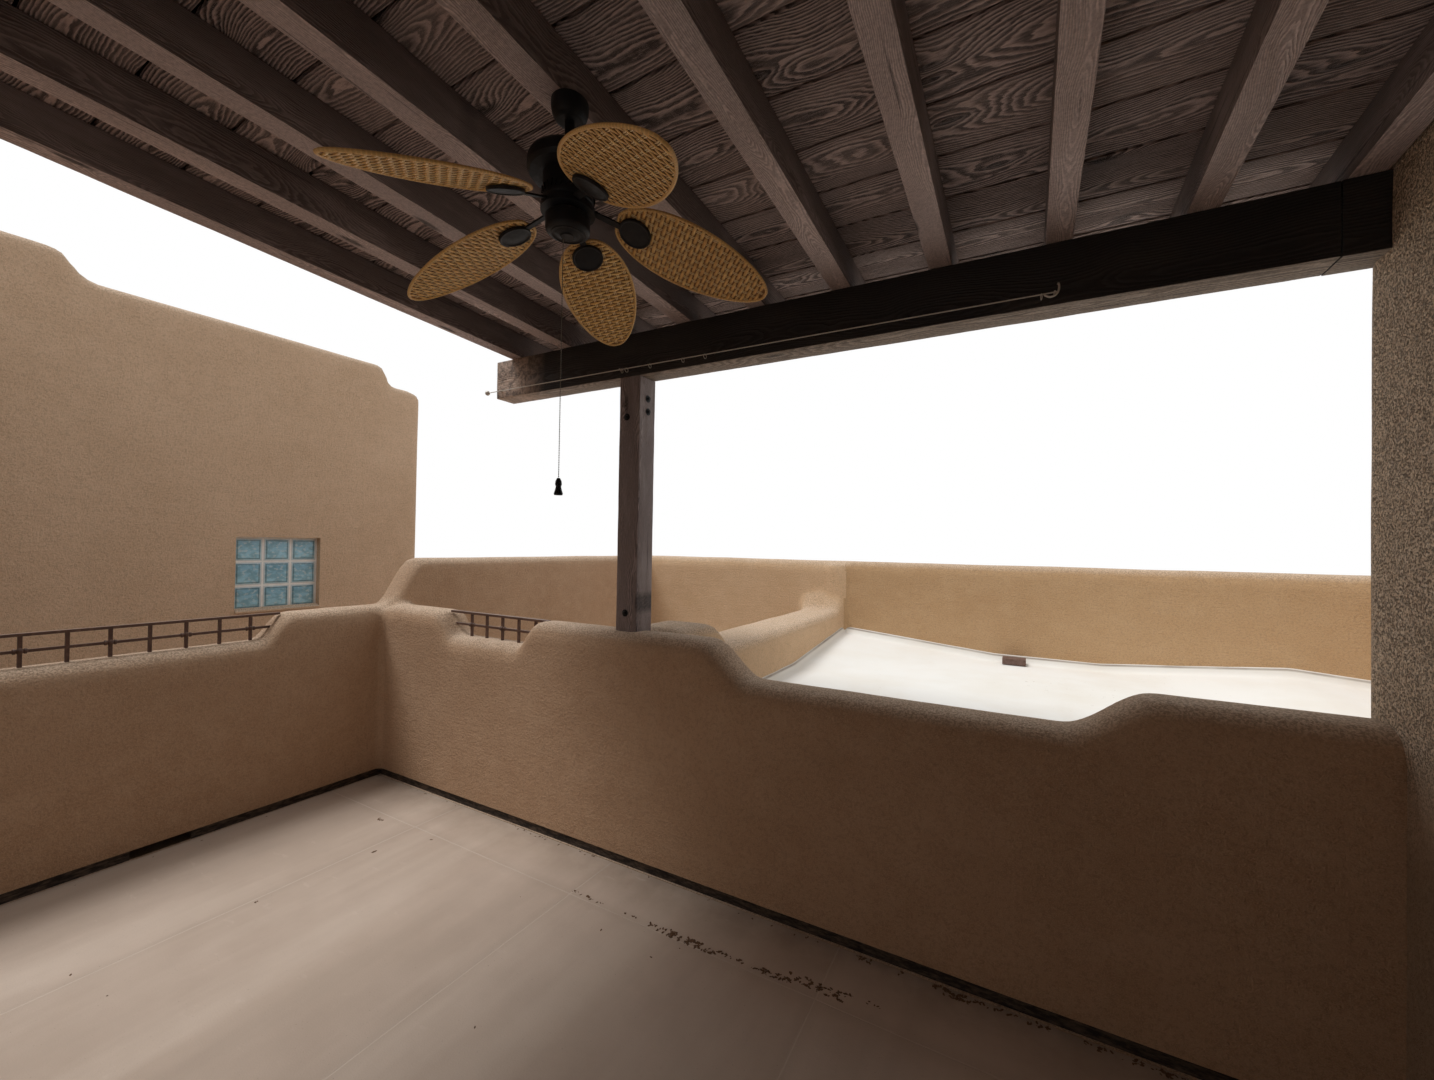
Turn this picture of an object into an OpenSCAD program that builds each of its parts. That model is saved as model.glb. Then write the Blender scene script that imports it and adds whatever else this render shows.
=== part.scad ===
// Covered roof terrace of an adobe house: soft stepped stucco walls round a deck,
// a timber ramada on one post with a palm-leaf ceiling fan, a lower white roof behind
// and a taller wing with a glass-block window. Origin under the post, on the base
// plane; +X along the front wall to the right, +Y outward, +Z up. Millimetres.

/* [Terrace] */
// Clear width of the deck between the left parapet and the right wall
terrace_w = 4875; // [4400:5:5600]
// Clear depth of the deck between the front parapet and the rear wall
terrace_d = 3668; // [3200:4:4400]
// Centre of the post from the left parapet's inner face
post_from_left = 2090; // [1900:5:2400]
// Thickness of the deck slab
deck_t = 200; // [120:5:300]
// Height of the dark flashing strip at the foot of the walls
flash_h = 50; // [20:1:90]
// Depth of the recess that the flashing strip lies in
flash_recess = 18; // [8:1:40]
// Thickness of the flashing strip
flash_t = 4; // [2:1:6]

/* [Stucco walls] */
// Thickness of the stucco walls
wall_t = 250; // [200:5:320]
// Rounding of the wall tops
crown_r = 92; // [40:1:98]
// Rounding of free wall ends and outer corners
corner_r = 48; // [20:1:60]
// Top of the humps in the terrace parapet
hump_top = 1392; // [1300:1:1480]
// Top of the dips that carry a railing
dip_top = 1235; // [1150:1:1280]
// Top of the long low stretch of the front parapet
low_top = 1220; // [1150:1:1280]
// Top of the stretch next to the right wall
right_top = 1365; // [1290:1:1480]
// Length over which a railed dip swings up to its humps
swing = 165; // [120:5:260]
// Length of the gentle swings beside the hump under the post and at the well
long_swing = 270; // [180:5:400]
// Top of the parapets round the well and the lower roof
outer_top = 1720; // [1600:5:1900]
// Reach of the hump under the post towards the railed dip
hump_left = 700; // [600:5:800]
// Reach of the hump under the post towards the right wall
hump_right = 630; // [450:5:800]
// Width of the railed dip in the front parapet
front_dip_w = 752; // [600:2:840]
// Width of the railed dip in the left parapet
left_dip_w = 1760; // [1400:5:2000]
// Distance of the left parapet's dip from the front parapet
left_dip_gap = 618; // [400:2:900]
// Width of the raised stretch next to the right wall
right_hump_w = 665; // [500:5:900]
// Top of the highest stretch of the house walls
house_high = 3755; // [3700:5:3950]
// Drop from there to the house walls beside the ramada
house_step = 165; // [100:5:220]

/* [Ramada] */
// Width of the square post
post_w = 140; // [120:1:180]
// Offset of the post and beam from the front wall's centre line
post_y = 27; // [0:1:30]
// Underside of the header beam
beam_z = 2750; // [2600:5:2850]
// Depth of the header beam
beam_h = 233; // [200:1:290]
// Length of the beam beyond the post on its free end
beam_free = 1055; // [960:5:1200]
// Length of the beam's end that sits in the right wall
beam_bearing = 90; // [60:5:150]
// Distance of the first rafter from the beam's free end
rafter_inset = 125; // [60:1:250]
// Width of a rafter
rafter_w = 89; // [70:1:110]
// Depth of a rafter
rafter_h = 140; // [120:1:190]
// Spacing of the rafters
rafter_pitch = 406.4; // [380:0.1:420]
// Fall of the roof towards the front, degrees
roof_fall = 2.64; // [1:0.01:5]
// Overhang of the roof beyond the beam
overhang = 450; // [300:5:600]
// Thickness of the ceiling boards
board_t = 24; // [18:1:38]
// Thickness of the roofing over the boards
roofing_t = 16; // [8:1:30]
// Thickness of the ledger on the rear wall
ledger_t = 40; // [30:1:60]

/* [Doorway] */
// Width of the doorway in the rear wall
door_w = 915; // [800:5:1200]
// Height of the doorway above the deck
door_h = 2040; // [1980:5:2150]
// Left side of the doorway from the left parapet's inner face
door_from_left = 2700; // [2300:5:3200]
// Depth of the timber lintel over the doorway
lintel_h = 140; // [100:5:190]

/* [Lower roof] */
// Clear depth of the well and lower roof beyond the front parapet
yard_d = 2922; // [2500:2:3400]
// Left face of the low wall from the post's centre
low_wall_x = -140; // [-200:5:-100]
// Thickness of the low wall
low_wall_t = 430; // [300:5:500]
// Crest of the low wall between its humps
low_wall_top = 1235; // [1180:5:1300]
// Crest of the step at the low wall's far end
low_wall_step = 1405; // [1380:5:1560]
// Distance of that step from the far parapet
low_step_from_end = 60; // [40:2:200]
// Length of the low wall's raised start at the front parapet
low_start_w = 460; // [400:5:1000]
// Right inner face of the lower roof from the terrace's right wall face
roof_reach = 1425; // [1000:5:1800]
// Top of the lower roof
roof_z = 890; // [820:5:960]
// Thickness of the lower roof
roof_t = 150; // [100:5:220]
// Rise of the lower roof into the corner of the low wall
corner_rise = 127; // [60:1:160]
// Rise of the lower roof's ridge at the far parapet
ridge_rise = 100; // [60:1:140]
// Distance of that ridge from the side parapet
ridge_from_side = 690; // [500:5:900]
// Width of the roof drain
drain_w = 175; // [120:5:220]
// Depth of the roof drain
drain_d = 120; // [80:5:160]
// Height of the roof drain
drain_h = 50; // [40:5:100]
// Distance of the drain from the low wall
drain_from_low = 1413; // [1360:1:1500]
// Distance of the drain from the far parapet
drain_from_far = 47; // [20:1:80]

/* [Wing] */
// Gap between the left parapet and the wing
passage_w = 1330; // [1000:5:1600]
// Width of the wing over its walls
wing_w = 2600; // [2200:5:3200]
// Distance of the wing's end beyond the front wall's centre line
wing_reach = 1130; // [900:5:1400]
// Drop from the highest house walls to the wing's end wall
wing_end_drop = 350; // [300:5:420]
// Length of the wing's lower stretches, from its end
wing_step_from_end = 2420; // [1800:5:3000]
// Length of the lowest stretch, from the wing's end
wing_end_w = 345; // [260:5:500]
// Side of the glass-block window
window_w = 610; // [500:5:800]
// Sill of the glass-block window
window_z = 1250; // [1200:5:1400]
// Centre of the window from the wing's end
window_from_end = 1220; // [900:5:1400]
// Mortar joint between the glass blocks
mortar = 12; // [6:1:20]
// Thickness of the glass blocks
block_t = 95; // [80:1:100]

/* [Railings] */
// Top of the railings
rail_top = 1389; // [1370:1:1420]
// Width of the top bar
rail_bar = 26; // [18:1:40]
// Width of the balusters and the middle bar
baluster = 14; // [10:1:20]
// Spacing of the balusters
baluster_pitch = 146; // [110:1:180]
// Drop of the middle bar below the top
rail_mid = 84; // [60:1:95]

/* [Curtain wire] */
// Length of the curtain wire beyond the post's centre
wire_right = 1953; // [1200:1:2200]
// Height of the wire above the beam's underside
wire_up = 41; // [25:1:80]

/* [Fan] */
// Distance of the fan behind the front wall's centre line
fan_back = 1298; // [1000:2:1500]
// Offset of the fan from its rafter's centre line
fan_off = 32; // [-40:1:40]
// Reach of the blades from the fan's axis
blade_reach = 564; // [480:1:600]
// Distance of the blades' inner ends from the fan's axis
blade_root = 132; // [115:1:150]
// Largest width of a blade
blade_w = 231; // [160:1:260]
// Slope of the blades down to their tips, degrees
blade_slope = 18.4; // [8:0.1:24]
// Pitch of the blades, degrees
blade_pitch = 14.8; // [6:0.1:20]
// Thickness of a blade's woven panel
blade_t = 5; // [3:1:8]
// Width of the bound rim of a blade
blade_rim = 9; // [5:1:14]
// Number of blades
blade_n = 5;
// Direction of the first blade, degrees
blade_phase = -100.4; // [-180:0.1:180]
// Radius of the motor drum
motor_r = 108; // [90:1:125]
// Running gap above and below the blade carrier
fan_gap = 5; // [5:1:10]
// Length of the pull chain
chain_len = 650; // [400:10:800]

/* [Hidden] */
$fn = 64;
seat = 0.3;
left_x = -post_from_left;
right_x = left_x + terrace_w;
front_in = -wall_t / 2;
front_out = wall_t / 2;
rear_in = front_in - terrace_d;
rear_out = rear_in - wall_t;
far_in = front_out + yard_d;
low_left = low_wall_x;
low_right = low_left + low_wall_t;
side_x = right_x + roof_reach;
wing_x = left_x - wall_t - passage_w;
wing_out_x = wing_x - wing_w;
house_top = house_high - house_step;
wing_end_top = house_high - wing_end_drop;

// Rafters and roof: the underside line passes through the beam's inner top edge
beam_y = post_y - post_w / 2;
beam_top = beam_z + beam_h;
rafter_x0 = -beam_free + rafter_inset;
rafter_steps = floor((right_x - 1.6 * rafter_w - rafter_x0) / rafter_pitch);
eave_y = beam_y + post_w + overhang;
ledger_y = rear_in + ledger_t;
fall = tan(roof_fall);
function under(y) = beam_top + (beam_y - y) * fall;
rafter_xs = concat([for (i = [0:rafter_steps]) rafter_x0 + i * rafter_pitch],
                   [right_x - rafter_w]);
roof_left = rafter_x0 - 12;

// Doorway and window
door_x = left_x + door_from_left;
door_top = deck_t + door_h;
window_y = wing_reach - window_from_end;

// Fan levels, from the rafter above it downwards
fan_x = rafter_xs[4] + rafter_w / 2 + fan_off;
fan_y = -fan_back;
canopy_z = under(fan_y);
canopy_h = 50;
canopy_r = 50;
rod_r = 13;
rod_h = 90;
drum_h = 66;
neck_h = 73;
neck_r = 67;
motor_top = canopy_z - canopy_h - rod_h;
neck_bottom = motor_top - drum_h - neck_h;
shaft_r = 12;
shaft_fit = 0.05;
carrier_h = 16;
carrier_r = 72;
carrier_top = neck_bottom - fan_gap;
carrier_bottom = carrier_top - carrier_h;
switch_top = carrier_bottom - fan_gap;
switch_h = 52;
switch_r = 59;
switch_bottom = switch_top - switch_h;
blade_z = carrier_bottom - 7;
plate_r = 46;
plate_x = 52;
iron_t = 5;
iron_w = 18;

// Pull chain: an eyelet under the switch housing, the chain and its bell-shaped pull
chain_d = 3.2;
chain_x = fan_x - 16;
eyelet_h = 8;
chain_top = switch_bottom - eyelet_h;
chain_end = chain_top - chain_len;
bell_h = 46;
CHAIN = [for (i = [0:5]) [chain_x, fan_y, chain_top - i * chain_len / 5]];

STUCCO = [0.72, 0.56, 0.42];
TIMBER = [0.22, 0.16, 0.14];
IRON = [0.24, 0.15, 0.12];
BLACK = [0.08, 0.08, 0.09];

// A smooth step from 0 to 1
function smooth(u) = let (c = max(0, min(1, u))) c * c * (3 - 2 * c);
function sum(v, i = 0) = i < len(v) ? v[i] + sum(v, i + 1) : 0;
// Height of a wall top at s: its first level and each swing [centre, rise, width] up to there
function top_at(s, first, swings) =
    first + sum([for (k = swings) k[1] * smooth((s - k[0]) / k[2] + 0.5)]);
function sorted(v) = len(v) < 2 ? v : let (p = v[floor(len(v) / 2)])
    concat(sorted([for (x = v) if (x < p) x]), [p], sorted([for (x = v) if (x > p) x]));
// How a wall ends: cut flat, against another round top of its own height, free and rounded,
// or at an outer corner that is rounded on the wall's near side (y = 0) or its far side
FLAT = 0;
MEET = 1;
FREE = 2;
NEAR = 3;
FAR = 4;
// Stations along a wall: its ends, the round of each free end or corner and each swing
function stations(length, swings, a, b) = sorted([for (s = concat([0, length],
    [for (k = [1:4]) if (a >= FREE) corner_r * (1 - cos(22.5 * k))],
    [for (k = [1:4]) if (b >= FREE) length - corner_r * (1 - cos(22.5 * k))],
    [for (k = swings) for (j = [-4:4]) k[0] + k[2] * j / 8])) if (s >= 0 && s <= length) round(s)]);
// How far the round of an end draws one side of the wall in at d from that end
function drawn_in(d, end, side) = (end == FREE || end == side) && d < corner_r
    ? corner_r - sqrt(corner_r * corner_r - (corner_r - d) * (corner_r - d)) : 0;
// Which way the crown bends at d from an end: out over the other wall's crown, or back at a corner
function bend(d, end) = end == MEET && d <= 0 ? 1 : end >= NEAR && d <= corner_r ? -1 : 0;
// Section of a wall with a round crown at s: foot z0, top z, sides drawn in by e0 and e1
crown_steps = 5;
function wall_ring(s, t, z0, z, e0, e1, shift) =
    let (r = max(2, min(crown_r, (t - e0 - e1) / 2 - 1)), n = crown_steps, top = z - min(e0, e1))
    concat([[s, e0, z0]],
           [for (i = [0:n]) let (a = 90 * i / n)
               [s + shift * r * (1 - cos(a)), e0 + r - r * cos(a), top - r + r * sin(a)]],
           [for (i = [n:-1:0]) let (a = 90 * i / n)
               [s + shift * r * (1 - cos(a)), t - e1 - r + r * cos(a), top - r + r * sin(a)]],
           [[s, t - e1, z0]]);
// Faces of a loft of n rings with m points each, closed at both ends by strips
function loft_faces(n, m) = concat(
    [for (j = [0:m / 2 - 2]) [j, j + 1, m - 2 - j, m - 1 - j]],
    [for (j = [0:m / 2 - 2]) let (k = (n - 1) * m) [k + m - 1 - j, k + m - 2 - j, k + j + 1, k + j]],
    [for (i = [0:n - 2]) for (j = [0:m - 1]) let (a = i * m + j, b = i * m + (j + 1) % m)
        each [[a, a + m, b], [b, a + m, b + m]]]);
// A stucco wall along +X from the origin, its thickness in +Y, with ends a and b
module soft_wall(length, first, swings = [], t = wall_t, z0 = 0, a = FLAT, b = FLAT) {
    ss = stations(length, swings, a, b);
    rings = [for (s = ss) wall_ring(s, t, z0, top_at(s, first, swings),
        max(drawn_in(s, a, NEAR), drawn_in(length - s, b, NEAR)),
        max(drawn_in(s, a, FAR), drawn_in(length - s, b, FAR)),
        bend(length - s, b) - bend(s, a))];
    polyhedron([for (r = rings) each r], loft_faces(len(ss), len(rings[0])), convexity = 6);
}
// The same wall along +Y, its near side on the right
module soft_wall_y(length, first, swings = [], t = wall_t, z0 = 0, a = FLAT, b = FLAT) {
    translate([t, 0, 0]) rotate(90) soft_wall(length, first, swings, t, z0, a, b);
}

// Where the left parapet swings, measured from the rear wall's inner face
left_swings = [[terrace_d - left_dip_gap - left_dip_w, dip_top - hump_top, swing],
               [terrace_d - left_dip_gap, hump_top - dip_top, swing],
               [terrace_d + wall_t * 0.7, outer_top - hump_top, long_swing]];
module left_parapet_form() {
    translate([left_x - wall_t, rear_in, 0])
        soft_wall_y(terrace_d + wall_t + yard_d, hump_top, left_swings, b = MEET);
}
module far_parapet_form() {
    translate([left_x - wall_t, far_in, 0])
        soft_wall(side_x + 2 * wall_t - left_x, outer_top, a = FAR, b = FAR);
}
// Where the front parapet swings, measured from the left parapet's inner face
front_swings = [[post_from_left - hump_left - front_dip_w, dip_top - hump_top, swing],
                [post_from_left - hump_left, hump_top - dip_top, swing],
                [post_from_left + hump_right, low_top - hump_top, long_swing],
                [terrace_w - right_hump_w, right_top - low_top, long_swing]];
module front_parapet_form() {
    translate([left_x, front_in, 0]) soft_wall(terrace_w, hump_top, front_swings);
}
module right_wall_form() {
    translate([right_x, rear_in, 0])
        soft_wall_y(terrace_d + wall_t, house_high, [[terrace_d * 0.45, -house_step, swing]],
                    a = MEET, b = FREE);
}
// The rear wall is high behind the wing and at the right corner, lower between them
rear_step = (left_x - wing_x) * 0.8;
module rear_left_form() {
    translate([wing_x, rear_out, 0])
        soft_wall(door_x - wing_x, house_high, [[rear_step, -house_step, swing]]);
}
module rear_right_form() {
    reach = right_x + wall_t - door_x - door_w;
    translate([door_x + door_w, rear_out, 0])
        soft_wall(reach, house_top, [[reach - 4 * wall_t, house_step, swing]], b = NEAR);
}

// Recess of the flashing strip along the inner faces of the left and front parapets
module flashing_run(depth) {
    translate([left_x - depth, rear_in, deck_t]) cube([depth, terrace_d + depth, flash_h]);
    translate([left_x - depth, front_in, deck_t]) cube([terrace_w + depth, depth, flash_h]);
}
// Slot through the left parapet that lets rain off the deck
scupper_w = 240;
scupper_from_front = 1000;
module scupper() {
    translate([left_x - wall_t - 1, front_in - scupper_from_front - scupper_w, deck_t])
        cube([wall_t + 2, scupper_w, flash_h]);
}

module deck_slab() {
    color([0.55, 0.48, 0.42])
        translate([left_x, rear_in, 0]) cube([terrace_w, terrace_d, deck_t]);
}
module base_flashing() {
    color([0.1, 0.09, 0.08]) difference() {
        flashing_run(flash_recess);
        translate([left_x - flash_recess + flash_t, rear_in - 1, deck_t - 1])
            cube([terrace_w + flash_recess, terrace_d + 1 + flash_recess - flash_t, flash_h + 2]);
        scupper();
    }
}
module left_parapet() {
    color(STUCCO) difference() {
        left_parapet_form();
        flashing_run(flash_recess);
        scupper();
        railing_y();
    }
}
module front_parapet() {
    color(STUCCO) difference() {
        front_parapet_form();
        flashing_run(flash_recess);
        post_solid();
        railing_x();
    }
}
module right_wall() {
    color([0.5, 0.42, 0.34]) difference() {
        right_wall_form();
        beam_solid();
    }
}
module rear_wall_left() { color(STUCCO) rear_left_form(); }
module rear_wall_right() { color(STUCCO) rear_right_form(); }
module rear_wall_over_door() {
    color(STUCCO) translate([door_x, rear_out, 0])
        soft_wall(door_w, house_top, z0 = door_top + lintel_h);
}
module door_lintel() {
    color(TIMBER) translate([door_x, rear_out, door_top]) cube([door_w, wall_t, lintel_h]);
}

// The post's foot is let into the hump's round top
foot_z = hump_top - 32;
module post_solid() {
    translate([-post_w / 2, post_y - post_w / 2, foot_z]) cube([post_w, post_w, beam_z - foot_z]);
}
module beam_solid() {
    translate([-beam_free, beam_y, beam_z])
        cube([beam_free + right_x + beam_bearing, post_w, beam_h]);
}
module post() { color(TIMBER) post_solid(); }
module header_beam() { color(TIMBER) beam_solid(); }
module roof_ledger() {
    color(TIMBER) translate([roof_left, rear_in, under(ledger_y)])
        cube([right_x - roof_left, ledger_t, rafter_h]);
}
// A slab that follows the roof's fall: y0 to y1, lifted above the rafters' underside
module on_fall(x0, x1, y0, y1, lift, t) {
    translate([x0, 0, 0]) rotate([90, 0, 90]) linear_extrude(x1 - x0)
        polygon([[y0, under(y0) + lift], [y1, under(y1) + lift],
                 [y1, under(y1) + lift + t], [y0, under(y0) + lift + t]]);
}
module rafters() {
    color(TIMBER) difference() {
        for (x = rafter_xs) on_fall(x, x + rafter_w, ledger_y, eave_y, 0, rafter_h);
        beam_solid();
    }
}
module ceiling_boards() {
    color([0.26, 0.18, 0.15])
        on_fall(roof_left, right_x, ledger_y, eave_y, rafter_h + seat, board_t);
}
module roofing() {
    color([0.62, 0.58, 0.52])
        on_fall(roof_left, right_x, ledger_y, eave_y, rafter_h + board_t + 2 * seat, roofing_t);
}

// A railing along +X: top bar, middle bar and balusters from first on, every other one with a
// forged knuckle, counted from knuckle. Its ends and feet are let into the wall.
end_inset = 100;
knuckle_d = 27;
module railing(length, first, knuckle) {
    foot = dip_top - 45;
    n = floor((length - first - end_inset) / baluster_pitch);
    mid_z = rail_top - rail_mid;
    translate([0, -rail_bar / 2, rail_top - baluster]) cube([length, rail_bar, baluster]);
    translate([0, -baluster / 2, mid_z - baluster / 2]) cube([length, baluster, baluster]);
    for (i = [0:n]) translate([first + i * baluster_pitch, 0, 0]) {
        translate([-baluster / 2, -baluster / 2, foot])
            cube([baluster, baluster, rail_top - baluster / 2 - foot]);
        if (i % 2 == knuckle) translate([0, 0, mid_z]) sphere(d = knuckle_d, $fn = 24);
    }
}
rail_lap = 47;
front_first = 200;
left_first = 102;
module railing_x() {
    x0 = left_x + front_swings[0][0] - rail_lap;
    x1 = left_x + front_swings[1][0] + 2 * rail_lap;
    translate([x0, 0, 0]) railing(x1 - x0, front_first, 0);
}
module railing_y() {
    y0 = rear_in + left_swings[0][0] - rail_lap;
    y1 = rear_in + left_swings[1][0] + rail_lap;
    translate([left_x - wall_t / 2, y0, 0]) rotate(90) railing(y1 - y0, left_first, 1);
}
module left_railing() { color(IRON) railing_y(); }
module front_railing() { color(IRON) railing_x(); }

// Curtain wire beside the beam's inner face, on three screw eyes, with a ball at its free end
wire_gap = 16;
wire_left = -beam_free - 65;
module curtain_wire() {
    wire_z = beam_z + wire_up;
    color(IRON) translate([0, beam_y - wire_gap, wire_z]) {
        translate([wire_left, 0, 0]) rotate([0, 90, 0])
            cylinder(d = 5, h = wire_right - wire_left, $fn = 24);
        translate([wire_left, 0, 0]) sphere(d = 30, $fn = 32);
        for (x = [-beam_free + 48, -post_w * 0.4, wire_right - 6])
            translate([x, -5, 0]) rotate([-90, 0, 0])
                cylinder(d = 9, h = 5 + wire_gap - seat / 2, $fn = 24);
    }
}

module at_fan(z) { translate([fan_x, fan_y, z]) children(); }
// A round body whose profile is [radius, height] points from its foot upwards
module turned(profile) {
    rotate_extrude() polygon(concat([[0, profile[0][1]]], profile,
                                    [[0, profile[len(profile) - 1][1]]]));
}
module fan_canopy() {
    side = 4 * canopy_r;
    color(BLACK) intersection() {
        at_fan(motor_top) union() {
            cylinder(r = rod_r, h = rod_h + canopy_h / 2);
            translate([0, 0, rod_h]) turned(concat(
                [for (a = [0:15:90]) [30 + (canopy_r - 30) * sin(a), 40 * (1 - cos(a))]],
                [[canopy_r, canopy_h + 10]]));
        }
        on_fall(fan_x - side, fan_x + side, fan_y - side, fan_y + side, -side - seat, side);
    }
}
module fan_motor_housing() {
    color(BLACK) {
        at_fan(motor_top - drum_h) turned(concat(
            [[neck_r + 10, 0], [motor_r - 7, 3], [motor_r, 12]],
            [for (a = [0:15:90]) [motor_r - 30 * (1 - cos(a)), drum_h - 34 + 24 * sin(a)]],
            [[32, drum_h - 8], [26, drum_h]]));
        at_fan(neck_bottom) turned(concat(
            [for (a = [0:22.5:90]) [neck_r - 10 + 10 * sin(a), 10 - 10 * cos(a)]],
            [[neck_r, neck_h + 3]]));
        at_fan(switch_top) cylinder(r = shaft_r, h = neck_bottom - switch_top + 1);
    }
}
module fan_switch_housing() {
    color(BLACK) {
        at_fan(switch_bottom) turned(concat(
            [[18, -8], [20, -4], [34, 0]],
            [for (a = [0:22.5:90]) [switch_r - 16 + 16 * sin(a), 14 - 14 * cos(a)]],
            [[switch_r, switch_h - 8], [switch_r - 8, switch_h]]));
        translate([chain_x, fan_y, chain_top]) cylinder(d = 7, h = eyelet_h + 1, $fn = 24);
    }
}

// Blades: flat leaves of woven palm with a bound rim, pitched and sloping down to their tips
leaf_steps = 18;
leaf_long = (blade_reach - blade_root) / cos(blade_slope);
function leaf_half(u) = blade_w / 2 * pow(sin(180 * pow(0.01 + 0.985 * u, 0.83)), 0.48);
function leaf_us() = [for (i = [0:leaf_steps]) (1 - cos(180 * i / leaf_steps)) / 2];
// Leaf outline, drawn in by e all round
function leaf_outline(e) = let (us = leaf_us())
    concat([for (u = us) [e + u * (leaf_long - 2 * e), e * 0.8 - leaf_half(u)]],
           [for (i = [leaf_steps:-1:0]) let (u = us[i])
               [e + u * (leaf_long - 2 * e), leaf_half(u) - e * 0.8]]);
module on_blade(i) {
    at_fan(blade_z) rotate(blade_phase - i * 360 / blade_n) translate([blade_root, 0, 0])
        rotate([-blade_pitch, blade_slope, 0]) children();
}
module blade(i) {
    color([0.72, 0.5, 0.22]) on_blade(i) {
        linear_extrude(blade_t) polygon(leaf_outline(0));
        linear_extrude(blade_t + 3) difference() {
            polygon(leaf_outline(0));
            polygon(leaf_outline(blade_rim));
        }
    }
}
module fan_blade_1() { blade(0); }
module fan_blade_2() { blade(1); }
module fan_blade_3() { blade(2); }
module fan_blade_4() { blade(3); }
module fan_blade_5() { blade(4); }
module fan_blade_carrier() {
    color(BLACK) difference() {
        union() {
            at_fan(carrier_bottom) cylinder(r = carrier_r, h = carrier_h);
            for (i = [0:blade_n - 1]) on_blade(i) translate([0, 0, -iron_t - seat]) {
                translate([carrier_r - 4 - blade_root, -iron_w / 2, 0])
                    cube([blade_root - carrier_r + 30, iron_w, iron_t]);
                translate([plate_x, 0, 0]) cylinder(r = plate_r, h = iron_t);
            }
        }
        at_fan(carrier_bottom - 1) cylinder(r = shaft_r + shaft_fit, h = carrier_h + 2);
    }
}

// A round tube swept along points, one ring at each
module tube(points, d, sides = 8) {
    rings = [for (p = points) [for (k = [0:sides - 1]) let (a = 360 * k / sides)
        p + [d / 2 * cos(a), d / 2 * sin(a), 0]]];
    polyhedron([for (r = rings) each r], loft_faces(len(points), sides), convexity = 2);
}
module pull_chain() {
    color([0.3, 0.28, 0.25]) tube([for (i = [len(CHAIN) - 1:-1:0]) CHAIN[i]], chain_d);
}
module chain_pull() {
    color(BLACK) translate([chain_x, fan_y, chain_end - bell_h]) rotate_extrude($fn = 32)
        polygon([[0, 0], [11, 0], [12, 4], [9, 14], [7, 22], [9, 30], [8, 38], [4, bell_h],
                 [0, bell_h]]);
}

// A sloped fill that turns rain away from the far parapet: its foot reaches run to both sides
// of x and before the parapet, and it rises to the parapet at x
sunk = 20;
module roof_fill(x, run, rise) {
    foot = roof_z - sunk;
    polyhedron([[x - run, far_in, foot], [x, far_in - run, foot], [x + run, far_in, foot],
                [x - run, far_in, roof_z], [x, far_in - run, roof_z], [x + run, far_in, roof_z],
                [x, far_in, roof_z + rise]],
               [[0, 1, 2], [0, 3, 4, 1], [1, 4, 5, 2], [0, 2, 5, 6, 3], [3, 6, 4], [4, 6, 5]]);
}
corner_run = 1350;
ridge_run = 1120;
module lower_roof() {
    roof_w = side_x - low_right;
    color([0.85, 0.84, 0.82]) {
        translate([low_right, front_out, roof_z - roof_t]) cube([roof_w, yard_d, roof_t]);
        intersection() {
            union() {
                roof_fill(low_right, corner_run, corner_rise);
                roof_fill(side_x - ridge_from_side, ridge_run, ridge_rise);
            }
            translate([low_right, front_out, roof_z - sunk])
                cube([roof_w, yard_d, sunk + corner_rise + ridge_rise]);
        }
    }
}
module roof_drain() {
    color([0.3, 0.2, 0.17])
        translate([low_right + drain_from_low, far_in - drain_from_far - drain_d, roof_z])
            cube([drain_w, drain_d, drain_h]);
}
module far_parapet() { color(STUCCO) far_parapet_form(); }
low_swings = [[low_start_w, low_wall_top - hump_top, long_swing],
              [yard_d - low_step_from_end, low_wall_step - low_wall_top, swing]];
module low_wall() {
    color(STUCCO) difference() {
        translate([low_left, front_out, 0])
            soft_wall_y(yard_d, hump_top, low_swings, t = low_wall_t, a = MEET);
        post_solid();
    }
}
module side_parapet() {
    color(STUCCO) translate([side_x, front_in, 0])
        soft_wall_y(wall_t + yard_d, outer_top, a = NEAR, b = MEET);
}
module roof_near_wall() {
    color(STUCCO) translate([right_x + wall_t, front_in, 0])
        soft_wall(roof_reach - wall_t, outer_top, b = MEET);
}

wing_len = wing_reach - rear_in;
wing_swings = [[wing_len - wing_step_from_end, -house_step, swing],
               [wing_len - wing_end_w, wing_end_top - house_top, swing * 0.5]];
module window_hole(t) {
    translate([wing_x - wall_t - 1, window_y - window_w / 2, window_z])
        cube([t, window_w, window_w]);
}
module wing_front_wall() {
    color(STUCCO) difference() {
        translate([wing_x - wall_t, rear_in, 0])
            soft_wall_y(wing_len, house_high, wing_swings, a = MEET, b = NEAR);
        window_hole(wall_t + 2);
    }
}
module wing_end_wall() {
    color(STUCCO) translate([wing_out_x, wing_reach - wall_t, 0])
        soft_wall(wing_w - wall_t, wing_end_top, a = FAR, b = MEET);
}
module wing_back_wall() {
    color(STUCCO) translate([wing_out_x, rear_in, 0])
        soft_wall_y(wing_len - wall_t, house_high, wing_swings, a = MEET, b = MEET);
}
module wing_rear_wall() {
    color(STUCCO) translate([wing_out_x, rear_out, 0])
        soft_wall(wing_w, house_high, a = NEAR);
}
wing_parapet = 330;
module wing_roof() {
    color([0.85, 0.84, 0.82]) translate([wing_out_x + wall_t, rear_in, wing_end_top - wing_parapet])
        cube([wing_w - 2 * wall_t, wing_len - wall_t, roof_t]);
}

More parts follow.
